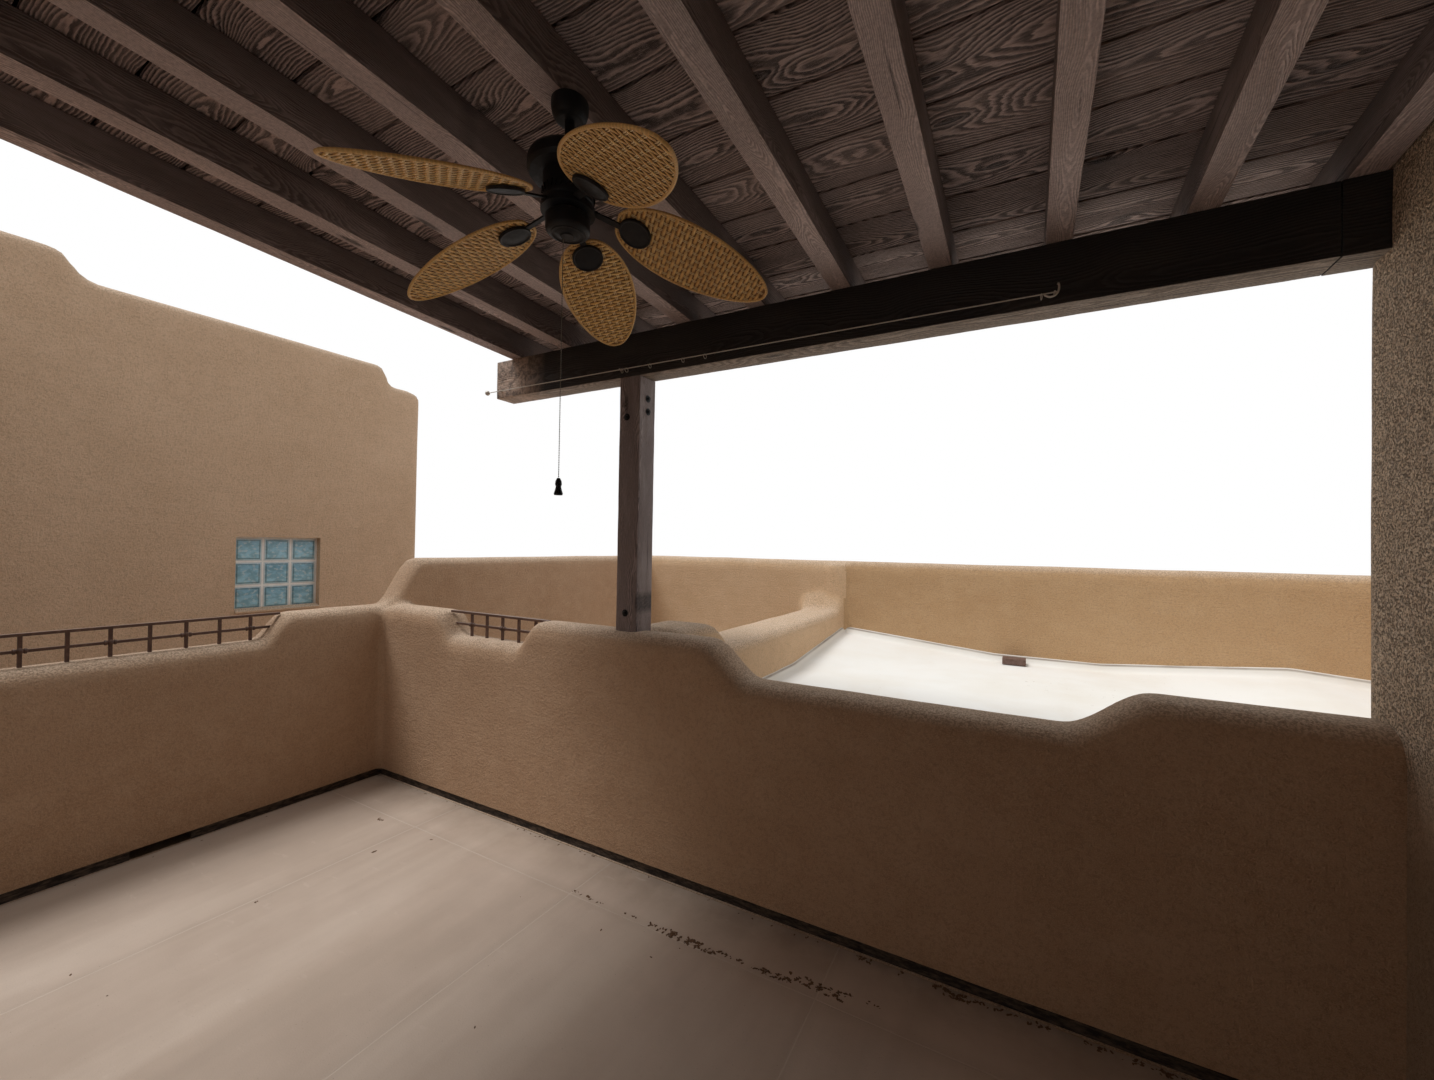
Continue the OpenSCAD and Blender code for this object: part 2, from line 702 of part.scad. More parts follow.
// Three by three glass blocks, set back from the wall's face
blocks = 3;
block_back = 60;
joint_back = 6;
block = (window_w - (blocks + 1) * mortar) / blocks;
block_x = wing_x - block_back - block_t;
module block_places() {
    for (i = [0:blocks - 1]) for (j = [0:blocks - 1])
        translate([block_x, window_y - window_w / 2 + mortar + i * (block + mortar),
                   window_z + mortar + j * (block + mortar)])
            children();
}
module glass_blocks() {
    color([0.6, 0.75, 0.8]) block_places() cube([block_t, block, block]);
}
module window_mortar() {
    color([0.88, 0.87, 0.84]) difference() {
        translate([block_x + joint_back, window_y - window_w / 2, window_z])
            cube([block_t - 2 * joint_back, window_w, window_w]);
        block_places() cube([block_t, block, block]);
    }
}

deck_slab();
base_flashing();
left_parapet();
front_parapet();
right_wall();
rear_wall_left();
rear_wall_right();
rear_wall_over_door();
door_lintel();
post();
header_beam();
roof_ledger();
rafters();
ceiling_boards();
roofing();
left_railing();
front_railing();
curtain_wire();
fan_canopy();
fan_motor_housing();
fan_switch_housing();
fan_blade_carrier();
fan_blade_1();
fan_blade_2();
fan_blade_3();
fan_blade_4();
fan_blade_5();
pull_chain();
chain_pull();
lower_roof();
roof_drain();
far_parapet();
low_wall();
side_parapet();
roof_near_wall();
wing_front_wall();
wing_end_wall();
wing_back_wall();
wing_rear_wall();
wing_roof();
window_mortar();
glass_blocks();
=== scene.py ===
import math
from contextlib import contextmanager
from functools import partialmethod
import bmesh
import bpy
import numpy as np
from mathutils import Euler, Matrix, Vector


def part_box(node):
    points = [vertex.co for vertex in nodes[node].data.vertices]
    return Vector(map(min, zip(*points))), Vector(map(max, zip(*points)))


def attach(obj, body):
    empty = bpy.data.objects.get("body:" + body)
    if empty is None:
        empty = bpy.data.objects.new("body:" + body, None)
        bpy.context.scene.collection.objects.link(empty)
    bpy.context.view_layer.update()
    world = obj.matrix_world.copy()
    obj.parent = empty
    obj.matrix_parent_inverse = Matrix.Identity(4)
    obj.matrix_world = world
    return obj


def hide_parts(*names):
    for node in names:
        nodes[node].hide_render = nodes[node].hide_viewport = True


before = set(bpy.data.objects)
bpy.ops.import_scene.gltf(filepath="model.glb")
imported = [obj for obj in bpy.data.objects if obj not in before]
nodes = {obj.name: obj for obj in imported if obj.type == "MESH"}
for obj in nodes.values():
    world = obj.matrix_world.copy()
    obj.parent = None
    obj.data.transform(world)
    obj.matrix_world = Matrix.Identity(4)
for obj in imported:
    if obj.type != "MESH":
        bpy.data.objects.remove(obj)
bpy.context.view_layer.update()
scene = bpy.context.scene

# The camera stands on the terrace, at eye height
cameraValues = {
    "place": (1.860, -2.393, 1.850),
    "turn": (-29.12, -0.59, 0.95),     # yaw, pitch and roll in degrees
    "focalPixels": 552.5,
    "frameWidth": 1434,
}


def makeCamera(v):
    yaw, pitch, roll = (math.radians(a) for a in v["turn"])
    upright = Matrix(((1, 0, 0), (0, 0, -1), (0, 1, 0)))
    toCamera = (Matrix.Rotation(roll, 3, "Z") @ Matrix.Rotation(pitch, 3, "X")
                @ upright @ Matrix.Rotation(yaw, 3, "Z"))
    right, down, ahead = toCamera
    camera = bpy.data.objects.new("terraceCamera", bpy.data.cameras.new("terraceCamera"))
    scene.collection.objects.link(camera)
    turned = Matrix((right, -down, -ahead)).transposed().to_4x4()
    camera.matrix_world = Matrix.Translation(v["place"]) @ turned
    camera.data.sensor_width = 36
    camera.data.lens = v["focalPixels"] / v["frameWidth"] * 36
    camera.data.clip_start = 0.05
    camera.data.clip_end = 300
    scene.camera = camera


makeCamera(cameraValues)
scene.view_settings.view_transform = "Standard"
print("camera placed")


def linkObject(name, data):
    obj = bpy.data.objects.new(name, data)
    scene.collection.objects.link(obj)
    return obj


def meshObject(name, points, faces, smooth=False):
    mesh = bpy.data.meshes.new(name)
    mesh.from_pydata([tuple(p) for p in points], [], faces)
    if smooth:
        mesh.shade_smooth()
    return linkObject(name, mesh)


def pointValues(mesh, name, values, kind="FLOAT"):
    attribute = mesh.attributes.new(name, kind, "POINT")
    for spot, value in zip(attribute.data, values):
        setattr(spot, "value" if kind == "FLOAT" else "vector", value)


def shapedMesh(obj):
    graph = bpy.context.evaluated_depsgraph_get()
    return bpy.data.meshes.new_from_object(obj.evaluated_get(graph), depsgraph=graph)


def settle(obj):     # keeps what the modifiers give as a plain mesh
    mesh = shapedMesh(obj)
    obj.modifiers.clear()
    obj.data = mesh
    return obj


def modify(obj, kind, **settings):
    modifier = obj.modifiers.new(kind.lower(), kind)
    for key, value in settings.items():
        setattr(modifier, key, value)
    return modifier


def part(obj, slot, *replaced, body="house"):
    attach(obj, body)
    if replaced:
        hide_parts(*replaced)
    return obj


def placing(origin, along, across):     # local x and y turned to these directions
    x, y = Vector(along).normalized(), Vector(across).normalized()
    turned = Matrix((x, y, x.cross(y))).transposed().to_4x4()
    return Matrix.Translation(origin) @ turned


@contextmanager
def reworked(mesh):     # a mesh open for work on its points and faces
    bm = bmesh.new()
    bm.from_mesh(mesh)
    yield bm
    bm.to_mesh(mesh)
    bm.free()


def joined(name, objects):
    mesh = bpy.data.meshes.new(name)
    materials = []
    with reworked(mesh) as bm:
        for obj in objects:
            start = len(bm.faces)
            bm.from_mesh(obj.data)
            bm.faces.ensure_lookup_table()
            for face in bm.faces[start:]:
                used = obj.data.materials[face.material_index]
                if used not in materials:
                    materials.append(used)
                face.material_index = materials.index(used)
            bpy.data.objects.remove(obj)
    for m in materials:
        mesh.materials.append(m)
    return linkObject(name, mesh)


def boxPoints(low, high):
    return [(x, y, z) for z in (low[2], high[2]) for y in (low[1], high[1]) for x in (low[0], high[0])]


boxFaces = [(0, 2, 3, 1), (4, 5, 7, 6), (0, 1, 5, 4), (2, 6, 7, 3), (0, 4, 6, 2), (1, 3, 7, 5)]


def addBox(bm, low, high):
    points = [bm.verts.new(p) for p in boxPoints(low, high)]
    for f in boxFaces:
        bm.faces.new([points[i] for i in f])


def sharpen(mesh, degrees):
    mesh.shade_smooth()
    limit = math.radians(degrees)
    with reworked(mesh) as bm:
        for e in bm.edges:
            e.smooth = len(e.link_faces) == 2 and e.calc_face_angle(0) < limit


class Net:     # a node tree and short ways to fill it
    def __init__(self, tree):
        self.tree = tree

    def join(self, source, target):
        if isinstance(source, bpy.types.NodeSocket):
            self.tree.links.new(source, target)
        elif source is not None:     # colours come without their alpha
            target.default_value = (*source, 1.0) if target.type == "RGBA" and len(source) == 3 else source

    def add(self, kind, inputs=None, output=0, **settings):
        node = self.tree.nodes.new(kind)
        for key, value in settings.items():
            setattr(node, key, value)
        for key, value in (inputs or {}).items():
            self.join(value, node.inputs[key])
        return node.outputs[output]

    def math(self, operation, a, b=0.0, c=0.0):
        return self.add("ShaderNodeMath", {0: a, 1: b, 2: c}, operation=operation)

    times = partialmethod(math, "MULTIPLY")
    plus = partialmethod(math, "ADD")
    minus = partialmethod(math, "SUBTRACT")
    over = partialmethod(math, "DIVIDE")

    def vector(self, operation, a, b=None, scale=None):
        inputs = {0: a, 1: b}
        if scale is not None:     # only the operation SCALE has this input
            inputs["Scale"] = scale
        return self.add("ShaderNodeVectorMath", inputs, operation=operation)

    def combine(self, x=0.0, y=0.0, z=0.0):
        return self.add("ShaderNodeCombineXYZ", {0: x, 1: y, 2: z})

    def separate(self, vector):
        node = self.tree.nodes.new("ShaderNodeSeparateXYZ")
        self.join(vector, node.inputs[0])
        return node.outputs

    def noise(self, scale, detail=3.0, rough=0.5, vector=None):
        inputs = {"Vector": vector, "Scale": scale, "Detail": detail, "Roughness": rough}
        return self.add("ShaderNodeTexNoise", inputs)

    def ramp(self, value, low, high, a=0.0, b=1.0):
        inputs = {"Value": value, "From Min": low, "From Max": high, "To Min": a, "To Max": b}
        return self.add("ShaderNodeMapRange", inputs)


class Paint(Net):     # a material, filled from here
    def __init__(self, name):
        self.material = bpy.data.materials.new(name)
        self.material.use_nodes = True
        super().__init__(self.material.node_tree)
        self.tree.nodes.clear()
        out = self.tree.nodes.new("ShaderNodeOutputMaterial")
        self.shader = self.tree.nodes.new("ShaderNodeBsdfPrincipled")
        self.join(self.shader.outputs[0], out.inputs[0])
        self.where = self.tree.nodes.new("ShaderNodeTexCoord").outputs["Object"]

    def noise(self, scale, detail=3.0, rough=0.5, vector=None):
        return super().noise(scale, detail, rough, vector or self.where)

    def stretch(self, scale, source=None):
        return self.vector("MULTIPLY", source or self.where, scale)

    def streaks(self, scale, detail, rough=0.5, source=None):     # noise drawn out along the axes
        return self.noise(1.0, detail, rough, self.stretch(scale, source))

    def attribute(self, name, output="Fac"):
        return self.add("ShaderNodeAttribute", {}, output=output, attribute_name=name)

    def mix(self, factor, a, b):
        return self.add("ShaderNodeMix", {0: factor, 6: a, 7: b}, output=2, data_type="RGBA")

    def lay(self, tone, cover, *span):     # a tone over the colour, where the cover or its ramp is high
        self.colour = self.mix(self.ramp(cover, *span) if span else cover, self.colour, tone)

    def upward(self):     # 1 where the surface faces up, -1 where it faces down
        return self.separate(self.add("ShaderNodeNewGeometry", output="Normal"))[2]

    def bump(self, height, distance, normal=None):
        inputs = {"Height": height, "Distance": distance, "Strength": 1.0, "Normal": normal}
        return self.add("ShaderNodeBump", inputs)

    def finish(self, roughness, normal=None, fixed=None):
        inputs = {"Base Color": self.colour, "Roughness": roughness, "Normal": normal, **(fixed or {})}
        for key, value in inputs.items():
            self.join(value, self.shader.inputs[key])
        return self.material


class Growth(Net):     # a Geometry Nodes tree with named inputs
    def __init__(self, name, **inputs):
        super().__init__(bpy.data.node_groups.new(name, "GeometryNodeTree"))
        for key, kind in inputs.items():
            self.tree.interface.new_socket(key, in_out="INPUT", socket_type="NodeSocket" + kind)
        self.tree.interface.new_socket("Geometry", in_out="OUTPUT", socket_type="NodeSocketGeometry")
        self.given = self.tree.nodes.new("NodeGroupInput").outputs

    def __getitem__(self, name):
        return self.given[name]

    def geo(self, kind, inputs=None, output=0, **settings):
        return self.add("GeometryNode" + kind, inputs, output, **settings)

    def attribute(self, name, kind="FLOAT"):
        return self.geo("InputNamedAttribute", {"Name": name}, data_type=kind)

    def line(self, start, end, count):
        line = self.geo("CurvePrimitiveLine", {"Start": start, "End": end})
        return self.geo("ResampleCurve", {"Curve": line, "Count": count}, mode="COUNT")

    def row(self, count, start, offset):
        inputs = {"Count": count, "Start Location": start, "Offset": offset}
        return self.geo("MeshLine", inputs, mode="OFFSET")

    def copies(self, points, instance, **more):
        return self.geo("InstanceOnPoints", {"Points": points, "Instance": instance, **more})

    def realized(self, geometry):
        return self.geo("RealizeInstances", {0: geometry})

    def place(self):
        return self.geo("InputPosition")

    def index(self):
        return self.geo("InputIndex")

    def moved(self, geometry, offset=None, position=None):
        return self.geo("SetPosition", {"Geometry": geometry, "Offset": offset, "Position": position})

    def sweep(self, curve, profile):
        return self.geo("CurveToMesh", {"Curve": curve, "Profile Curve": profile, "Fill Caps": True})

    def circle(self, sides, radius):
        return self.geo("CurvePrimitiveCircle", {"Resolution": sides, "Radius": radius})

    def turned(self, geometry, **how):
        return self.geo("Transform", {"Geometry": geometry, **how})

    def store(self, geometry, name, value, kind="FLOAT", domain="POINT"):
        inputs = {"Geometry": geometry, "Name": name, "Value": value}
        return self.geo("StoreNamedAttribute", inputs, data_type=kind, domain=domain)

    def gather(self, *pieces):
        node = self.tree.nodes.new("GeometryNodeJoinGeometry")
        for piece in pieces:
            self.tree.links.new(piece, node.inputs[0])
        return node.outputs[0]

    def coated(self, geometry, material):
        return self.geo("SetMaterial", {"Geometry": geometry, "Material": material})

    def finish(self, geometry):
        self.join(geometry, self.tree.nodes.new("NodeGroupOutput").inputs[0])
        return self.tree

    def finishCoated(self, geometry):
        return self.finish(self.coated(self.realized(geometry), self["Material"]))


def grow(name, tree, base=None, **values):
    obj = linkObject(name, base or bpy.data.meshes.new(name))
    shaping = modify(obj, "NODES", node_group=tree)
    for item in tree.interface.items_tree:
        if item.in_out == "INPUT" and item.name in values:
            shaping[item.identifier] = values[item.name]
    return settle(obj)


# The pull chain comes first, because it hangs free
chainValues = {
    "exit": (0.7561, -1.298, 2.6759), "length": 0.650, "diameter": 0.0032,
    "bead": 0.0047,     # from bead to bead
    "wire": 0.36,     # the wire's share of a bead
}


def metalMaterial(name, scale, detail, low, high, roughness, metallic):
    p = Paint(name)
    p.colour = p.mix(p.noise(scale, detail), low, high)
    return p.finish(roughness, fixed={"Metallic": metallic})


chainMetal = metalMaterial("dullChain", 300, 2, (0.10, 0.085, 0.065), (0.22, 0.19, 0.15), 0.38, 0.9)


def chainTree():
    g = Growth("ballChain", Length="Float", Bead="Float", Diameter="Float", Wire="Float",
               Material="Material")
    count = g.math("FLOOR", g.over(g["Length"], g["Bead"]))
    half = g.times(g["Diameter"], 0.5)
    down = g.combine(z=g.times(g["Bead"], -1.0))
    ball = g.geo("MeshUVSphere", {"Segments": 8, "Rings": 5, "Radius": half})
    start = g.combine(z=g.times(half, -1.0))
    balls = g.copies(g.row(count, start, down), ball)
    end = g.combine(z=g.times(g["Length"], -1.0))
    wire = g.sweep(g.line((0, 0, 0), end, 40), g.circle(6, g.times(half, g["Wire"])))
    return g.finishCoated(g.gather(balls, wire))


def makeChain(v):
    chain = grow("ballChain", chainTree(), Length=v["length"], Bead=v["bead"],
                 Diameter=v["diameter"], Wire=v["wire"], Material=chainMetal)
    chain.data.transform(Matrix.Translation(v["exit"]))
    chain.data.shade_smooth()
    part(chain, "chain", "pull_chain")


makeChain(chainValues)
print("pull chain hung")


# Sand-finish stucco
stuccoValues = {
    "tan": (0.56, 0.37, 0.235),
    "light": (0.62, 0.43, 0.285),
    "dark": (0.475, 0.30, 0.18),
    # dust, and painted sky light on the faces that look up
    "dust": (0.74, 0.58, 0.44),
    # a dark tone for stains, and for the painted shade low on the coarse wall
    "stain": (0.22, 0.145, 0.09),
    "grain": 0.005,     # height of the sand finish
    "trowel": 0.005,     # height of the trowel waves
    "stroke": 0.0022,     # height of the float's strokes
    "pits": 0.0,
}
stuccoTones = {
    "terrace": {},
    "roof": {"tan": (0.56, 0.36, 0.19), "light": (0.61, 0.41, 0.235), "dark": (0.50, 0.305, 0.15)},
    "low": {"tan": (0.70, 0.48, 0.29), "light": (0.76, 0.55, 0.36), "dark": (0.62, 0.41, 0.235)},
    "wing": {"tan": (0.69, 0.485, 0.325), "light": (0.76, 0.55, 0.385), "dark": (0.60, 0.41, 0.262)},
    "coarse": {"tan": (0.93, 0.715, 0.51), "light": (0.97, 0.77, 0.57), "dark": (0.80, 0.595, 0.42),
               "pits": 0.72},
    # painted shade: a near-black tone for the faces inside the scupper
    "scupperShade": {"tan": (0.085, 0.06, 0.045), "light": (0.12, 0.09, 0.065), "dark": (0.05, 0.035, 0.025),
             "dust": (0.13, 0.10, 0.075)},
}


def stuccoMaterial(name, v):
    p = Paint(name)
    broad, middle = p.noise(1.3, 3, 0.6), p.noise(9, 3, 0.62)
    sand, grit = p.noise(230, 1, 0.6), p.noise(78, 3, 0.7)
    strokes = p.streaks((4, 4, 42), 3, 0.65)
    bands = p.streaks((1.3, 1.3, 4.2), 2, 0.6)
    p.colour = p.mix(p.ramp(broad, 0.35, 0.68), v["dark"], v["tan"])
    p.lay(v["light"], middle, 0.40, 0.75, 0, 0.5)
    p.lay(v["dark"], strokes, 0.52, 0.72, 0, 0.22)
    p.lay(v["dark"], bands, 0.46, 0.66, 0, 0.40)
    p.lay(v["stain"], grit, 0.48, 0.62, 0, 0.30)
    p.lay(v["light"], sand, 0.47, 0.62, 0, 0.60)
    upward = p.upward()
    # dust, and painted sky light: faces that look up are lighter
    dust = p.times(p.ramp(upward, 0.4, 0.95, 0, 0.7), p.ramp(middle, 0.3, 0.6, 0.6, 1))
    p.lay(v["dust"], dust)
    specks = p.times(p.ramp(p.noise(125, 2, 0.65), 0.45, 0.57), p.ramp(upward, 0.2, 0.7, 0, 0.6))
    p.lay(v["stain"], specks)     # coarser sand on the crowns
    if v["pits"]:
        high = p.separate(p.where)[2]
        pits = p.ramp(p.noise(150, 3, 0.7), 0.40, 0.51)
        pits = p.math("MAXIMUM", pits, p.ramp(high, 1.15, 1.32, 0.8, 0))     # smoother low down
        p.lay(v["stain"], p.times(p.minus(1.0, pits), v["pits"]))
        # painted shade: the coarse wall is darker low down, in the parapet's shadow
        p.lay(v["stain"], high, 1.0, 1.35, 0.6, 0)
        normal = p.bump(p.plus(p.times(pits, 1.6), grit), v["grain"] * 3)
    else:
        normal = p.bump(p.plus(p.times(grit, 1.6), p.times(sand, 0.6)), v["grain"])
    normal = p.bump(strokes, v["stroke"], normal)
    normal = p.bump(p.noise(7, 2), v["trowel"], normal)
    return p.finish(0.93, normal)


stucco = {key: stuccoMaterial(key + "Stucco", {**stuccoValues, **tone})
          for key, tone in stuccoTones.items()}


def trowelTree():
    g = Growth("trowelWaves", Geometry="Geometry", Depth="Float", Scale="Float", Material="Material")
    lower = g.minus(g.noise(g["Scale"], 2.0), 0.8)     # pushes inwards nearly everywhere
    push = g.vector("SCALE", g.geo("InputNormal"), scale=g.times(lower, g["Depth"]))
    return g.finishCoated(g.moved(g["Geometry"], push))


trowel = trowelTree()


def boxesMesh(name, boxes):
    mesh = bpy.data.meshes.new(name)
    with reworked(mesh) as bm:
        for low, high in boxes:
            addBox(bm, low, high)
    return mesh


def roughMesh(nodeNames, stretch, fill):     # the solids together, with longer ends and filled joints
    mesh = bpy.data.meshes.new("rough")
    with reworked(mesh) as bm:
        for n in nodeNames:
            before = len(bm.verts)
            bm.from_mesh(nodes[n].data)
            bm.verts.ensure_lookup_table()
            for node, axis, limit, by in stretch:
                if node == n:
                    for vert in bm.verts[before:]:
                        if (vert.co[axis] - limit) * by > -0.0005 * abs(by):
                            vert.co[axis] += by
        bmesh.ops.remove_doubles(bm, verts=bm.verts, dist=0.0001)
        for low, high in fill:
            addBox(bm, low, high)
    return mesh


# stretch gives a node, an axis, the place of the end and how far it goes on; fill and cut are boxes
def stuccoWalls(name, nodeNames, v, stretch=(), fill=(), cut=()):
    rough = linkObject("rough", roughMesh(nodeNames, stretch, fill))
    modify(rough, "REMESH", mode="VOXEL", voxel_size=v["voxel"])
    modify(rough, "SMOOTH", factor=0.5, iterations=v["soften"])
    settle(rough)
    obj = grow(name, trowel, rough.data, Depth=v["depth"], Scale=v["scale"], Material=stucco[v["tone"]])
    bpy.data.objects.remove(rough)
    if cut:
        cutter = linkObject("cutter", boxesMesh("cutter", cut))
        modify(obj, "BOOLEAN", operation="DIFFERENCE", solver="EXACT", use_self=True, object=cutter)
        settle(obj)
        bpy.data.objects.remove(cutter)
        obj.data.materials.clear()
        obj.data.materials.append(stucco[v["tone"]])
    sharpen(obj.data, 50)
    print(name, len(obj.data.loops) - 2 * len(obj.data.polygons), "triangles")
    return part(obj, "stucco", *nodeNames)


def retone(wall, tone, isThere):     # another tone on the faces whose middle passes the test
    wall.data.materials.append(stucco[tone])
    for polygon in wall.data.polygons:
        if isThere(*polygon.center):
            polygon.material_index = 1


wallValues = {
    "terrace": {"tone": "terrace", "voxel": 0.0215, "soften": 2, "depth": 0.010, "scale": 1.8},
    "roof": {"tone": "roof", "voxel": 0.031, "soften": 2, "depth": 0.012, "scale": 1.6},
    "wing": {"tone": "wing", "voxel": 0.046, "soften": 2, "depth": 0.014, "scale": 1.2},
    "house": {"tone": "terrace", "voxel": 0.038, "soften": 2, "depth": 0.012, "scale": 1.4},
    "recess": 0.018,     # how far the walls stand back at the deck
    "recessHigh": 0.05,
    "roofFall": 0.046,     # for each metre
    "scupper": (-1.365, -1.125),     # from y to y
    "overlap": 0.12,     # of walls that run into each other
    "windowFill": 0.05,     # around the window, before it is cut
    # stucco built up in the corner of the low wall and the far parapet
    "corner": {"wide": 0.150, "proud": 0.034, "foot": 1.30, "underTop": 0.035},
}
deckLow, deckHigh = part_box("deck_slab")
postLow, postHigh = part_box("post")
beamLow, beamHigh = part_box("header_beam")
frontLow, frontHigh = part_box("front_parapet")
leftLow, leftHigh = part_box("left_parapet")
farLow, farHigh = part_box("far_parapet")
lowLow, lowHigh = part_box("low_wall")
windowLow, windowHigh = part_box("window_mortar")
wingLow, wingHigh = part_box("wing_front_wall")


def makeTerraceWalls(v):
    over = v["overlap"]
    foot, top = deckHigh.z, deckHigh.z + v["recessHigh"]
    left, front = leftHigh.x - v["recess"], frontLow.y + v["recess"]
    scupperLow, scupperHigh = v["scupper"]
    terrace = stuccoWalls(
        "terraceStucco", ["left_parapet", "front_parapet"], v["terrace"],
        stretch=[("front_parapet", 0, frontHigh.x, over), ("left_parapet", 1, leftLow.y, -over),
                 ("left_parapet", 1, farLow.y, over)],
        fill=[((left, deckLow.y, foot - 0.01), (leftHigh.x, front, top + 0.01)),
              ((left, frontLow.y, foot - 0.01), (frontHigh.x, front, top + 0.01)),
              ((postLow.x, postLow.y, postLow.z - 0.01), (postHigh.x, postHigh.y, postLow.z + 0.02))],
        cut=[((left, deckLow.y + 0.001, foot), (leftHigh.x + 0.1, front, top)),
             ((leftHigh.x + 0.05, frontLow.y - 0.1, foot), (frontHigh.x - 0.001, front, top)),
             ((leftLow.x - 0.05, scupperLow, foot + 0.001), (leftHigh.x + 0.05, scupperHigh, top - 0.001))])
    retone(terrace, "scupperShade", lambda x, y, z: leftLow.x + 0.012 < x < left - 0.001     # painted shade inside the scupper
           and scupperLow - 0.002 < y < scupperHigh + 0.002 and foot - 0.002 < z < top + 0.002)


def makeRoofWalls(v):
    over, corner = v["overlap"], v["corner"]
    lower = stuccoWalls(
        "roofStucco", ["far_parapet", "low_wall", "side_parapet", "roof_near_wall"], v["roof"],
        stretch=[("roof_near_wall", 0, frontHigh.x + 0.25, -over), ("low_wall", 1, lowLow.y, -over / 2),
                 ("low_wall", 1, farLow.y, over / 2)],
        fill=[((lowHigh.x - corner["wide"], farLow.y - corner["proud"], corner["foot"]),
               (lowHigh.x - 0.004, farLow.y + 0.02, farHigh.z - corner["underTop"]))])
    retone(lower, "low", lambda x, y, z: x < lowHigh.x + 0.012 and y < farLow.y + 0.1)


def makeWingWalls(v):
    spare = v["windowFill"]
    wing = stuccoWalls(
        "wingStucco", ["wing_front_wall", "wing_end_wall", "wing_back_wall", "wing_rear_wall"], v["wing"],
        fill=[((windowLow.x - 0.06, windowLow.y - spare, windowLow.z - spare),
               (wingHigh.x - 0.002, windowHigh.y + spare, windowHigh.z + spare))],
        cut=[((windowLow.x - 0.2, windowLow.y, windowLow.z),
              (wingHigh.x + 0.1, windowHigh.y, windowHigh.z))])
    retone(wing, "terrace", lambda x, y, z: y < wingLow.y + 0.03)     # flush with the rear wall


def makeHouseWalls(v):
    house = stuccoWalls(
        "houseStucco", ["rear_wall_left", "rear_wall_right", "rear_wall_over_door", "right_wall"],
        v["house"],
        stretch=[("rear_wall_left", 0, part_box("rear_wall_left")[0].x, -v["overlap"])],
        fill=[((frontHigh.x - 0.001, beamLow.y, beamLow.z - 0.002),
               (beamHigh.x + 0.01, beamHigh.y, beamHigh.z + 0.002))])
    # the right wall is coarse on its inner face below the roof, and at its end
    retone(house, "coarse", lambda x, y, z: x > frontHigh.x - 0.02 and y > deckLow.y and (
        y > frontHigh.y - 0.03 or (x < frontHigh.x + 0.02 and z < beamHigh.z + 0.15 - y * v["roofFall"])))


for make in (makeTerraceWalls, makeRoofWalls, makeWingWalls, makeHouseWalls):
    make(wallValues)
print("stucco walls made")


# Stained timber: rings cut lengthwise, raised by the weather
# the underside value is how much paler the underside is painted, as painted light from below, wear how far
# the stain has gone, check how dark the cracks are
woodValues = {
    "boards": {"valley": (0.055, 0.038, 0.034), "ridge": (0.61, 0.44, 0.39), "pale": (0.52, 0.39, 0.34),
               "under": 0.0, "ring": 0.0083, "raised": 0.0045, "check": 0.5, "wear": 0.35},
    "rafters": {"valley": (0.11, 0.078, 0.068), "ridge": (0.23, 0.17, 0.155), "pale": (0.84, 0.675, 0.64),
                "under": 0.85, "ring": 0.0048, "raised": 0.0014, "check": 0.6, "wear": 0.25},
    # the beam's near-black valley and ridge are painted shade on its sides
    "beam": {"valley": (0.008, 0.007, 0.008), "ridge": (0.019, 0.017, 0.019), "pale": (0.40, 0.315, 0.245),
             "under": 1.0, "ring": 0.009, "raised": 0.0016, "check": 0.9, "wear": 0.06,
             "bareEnd": 0.42, "weathered": (0.56, 0.41, 0.32)},     # the free end has lost its stain, and its paler colour also paints the light that falls there
    "post": {"valley": (0.15, 0.12, 0.115), "ridge": (0.42, 0.335, 0.325), "pale": (0.62, 0.55, 0.53),
             "under": 0.0, "ring": 0.007, "raised": 0.0018, "check": 1.0, "wear": 0.6},
}


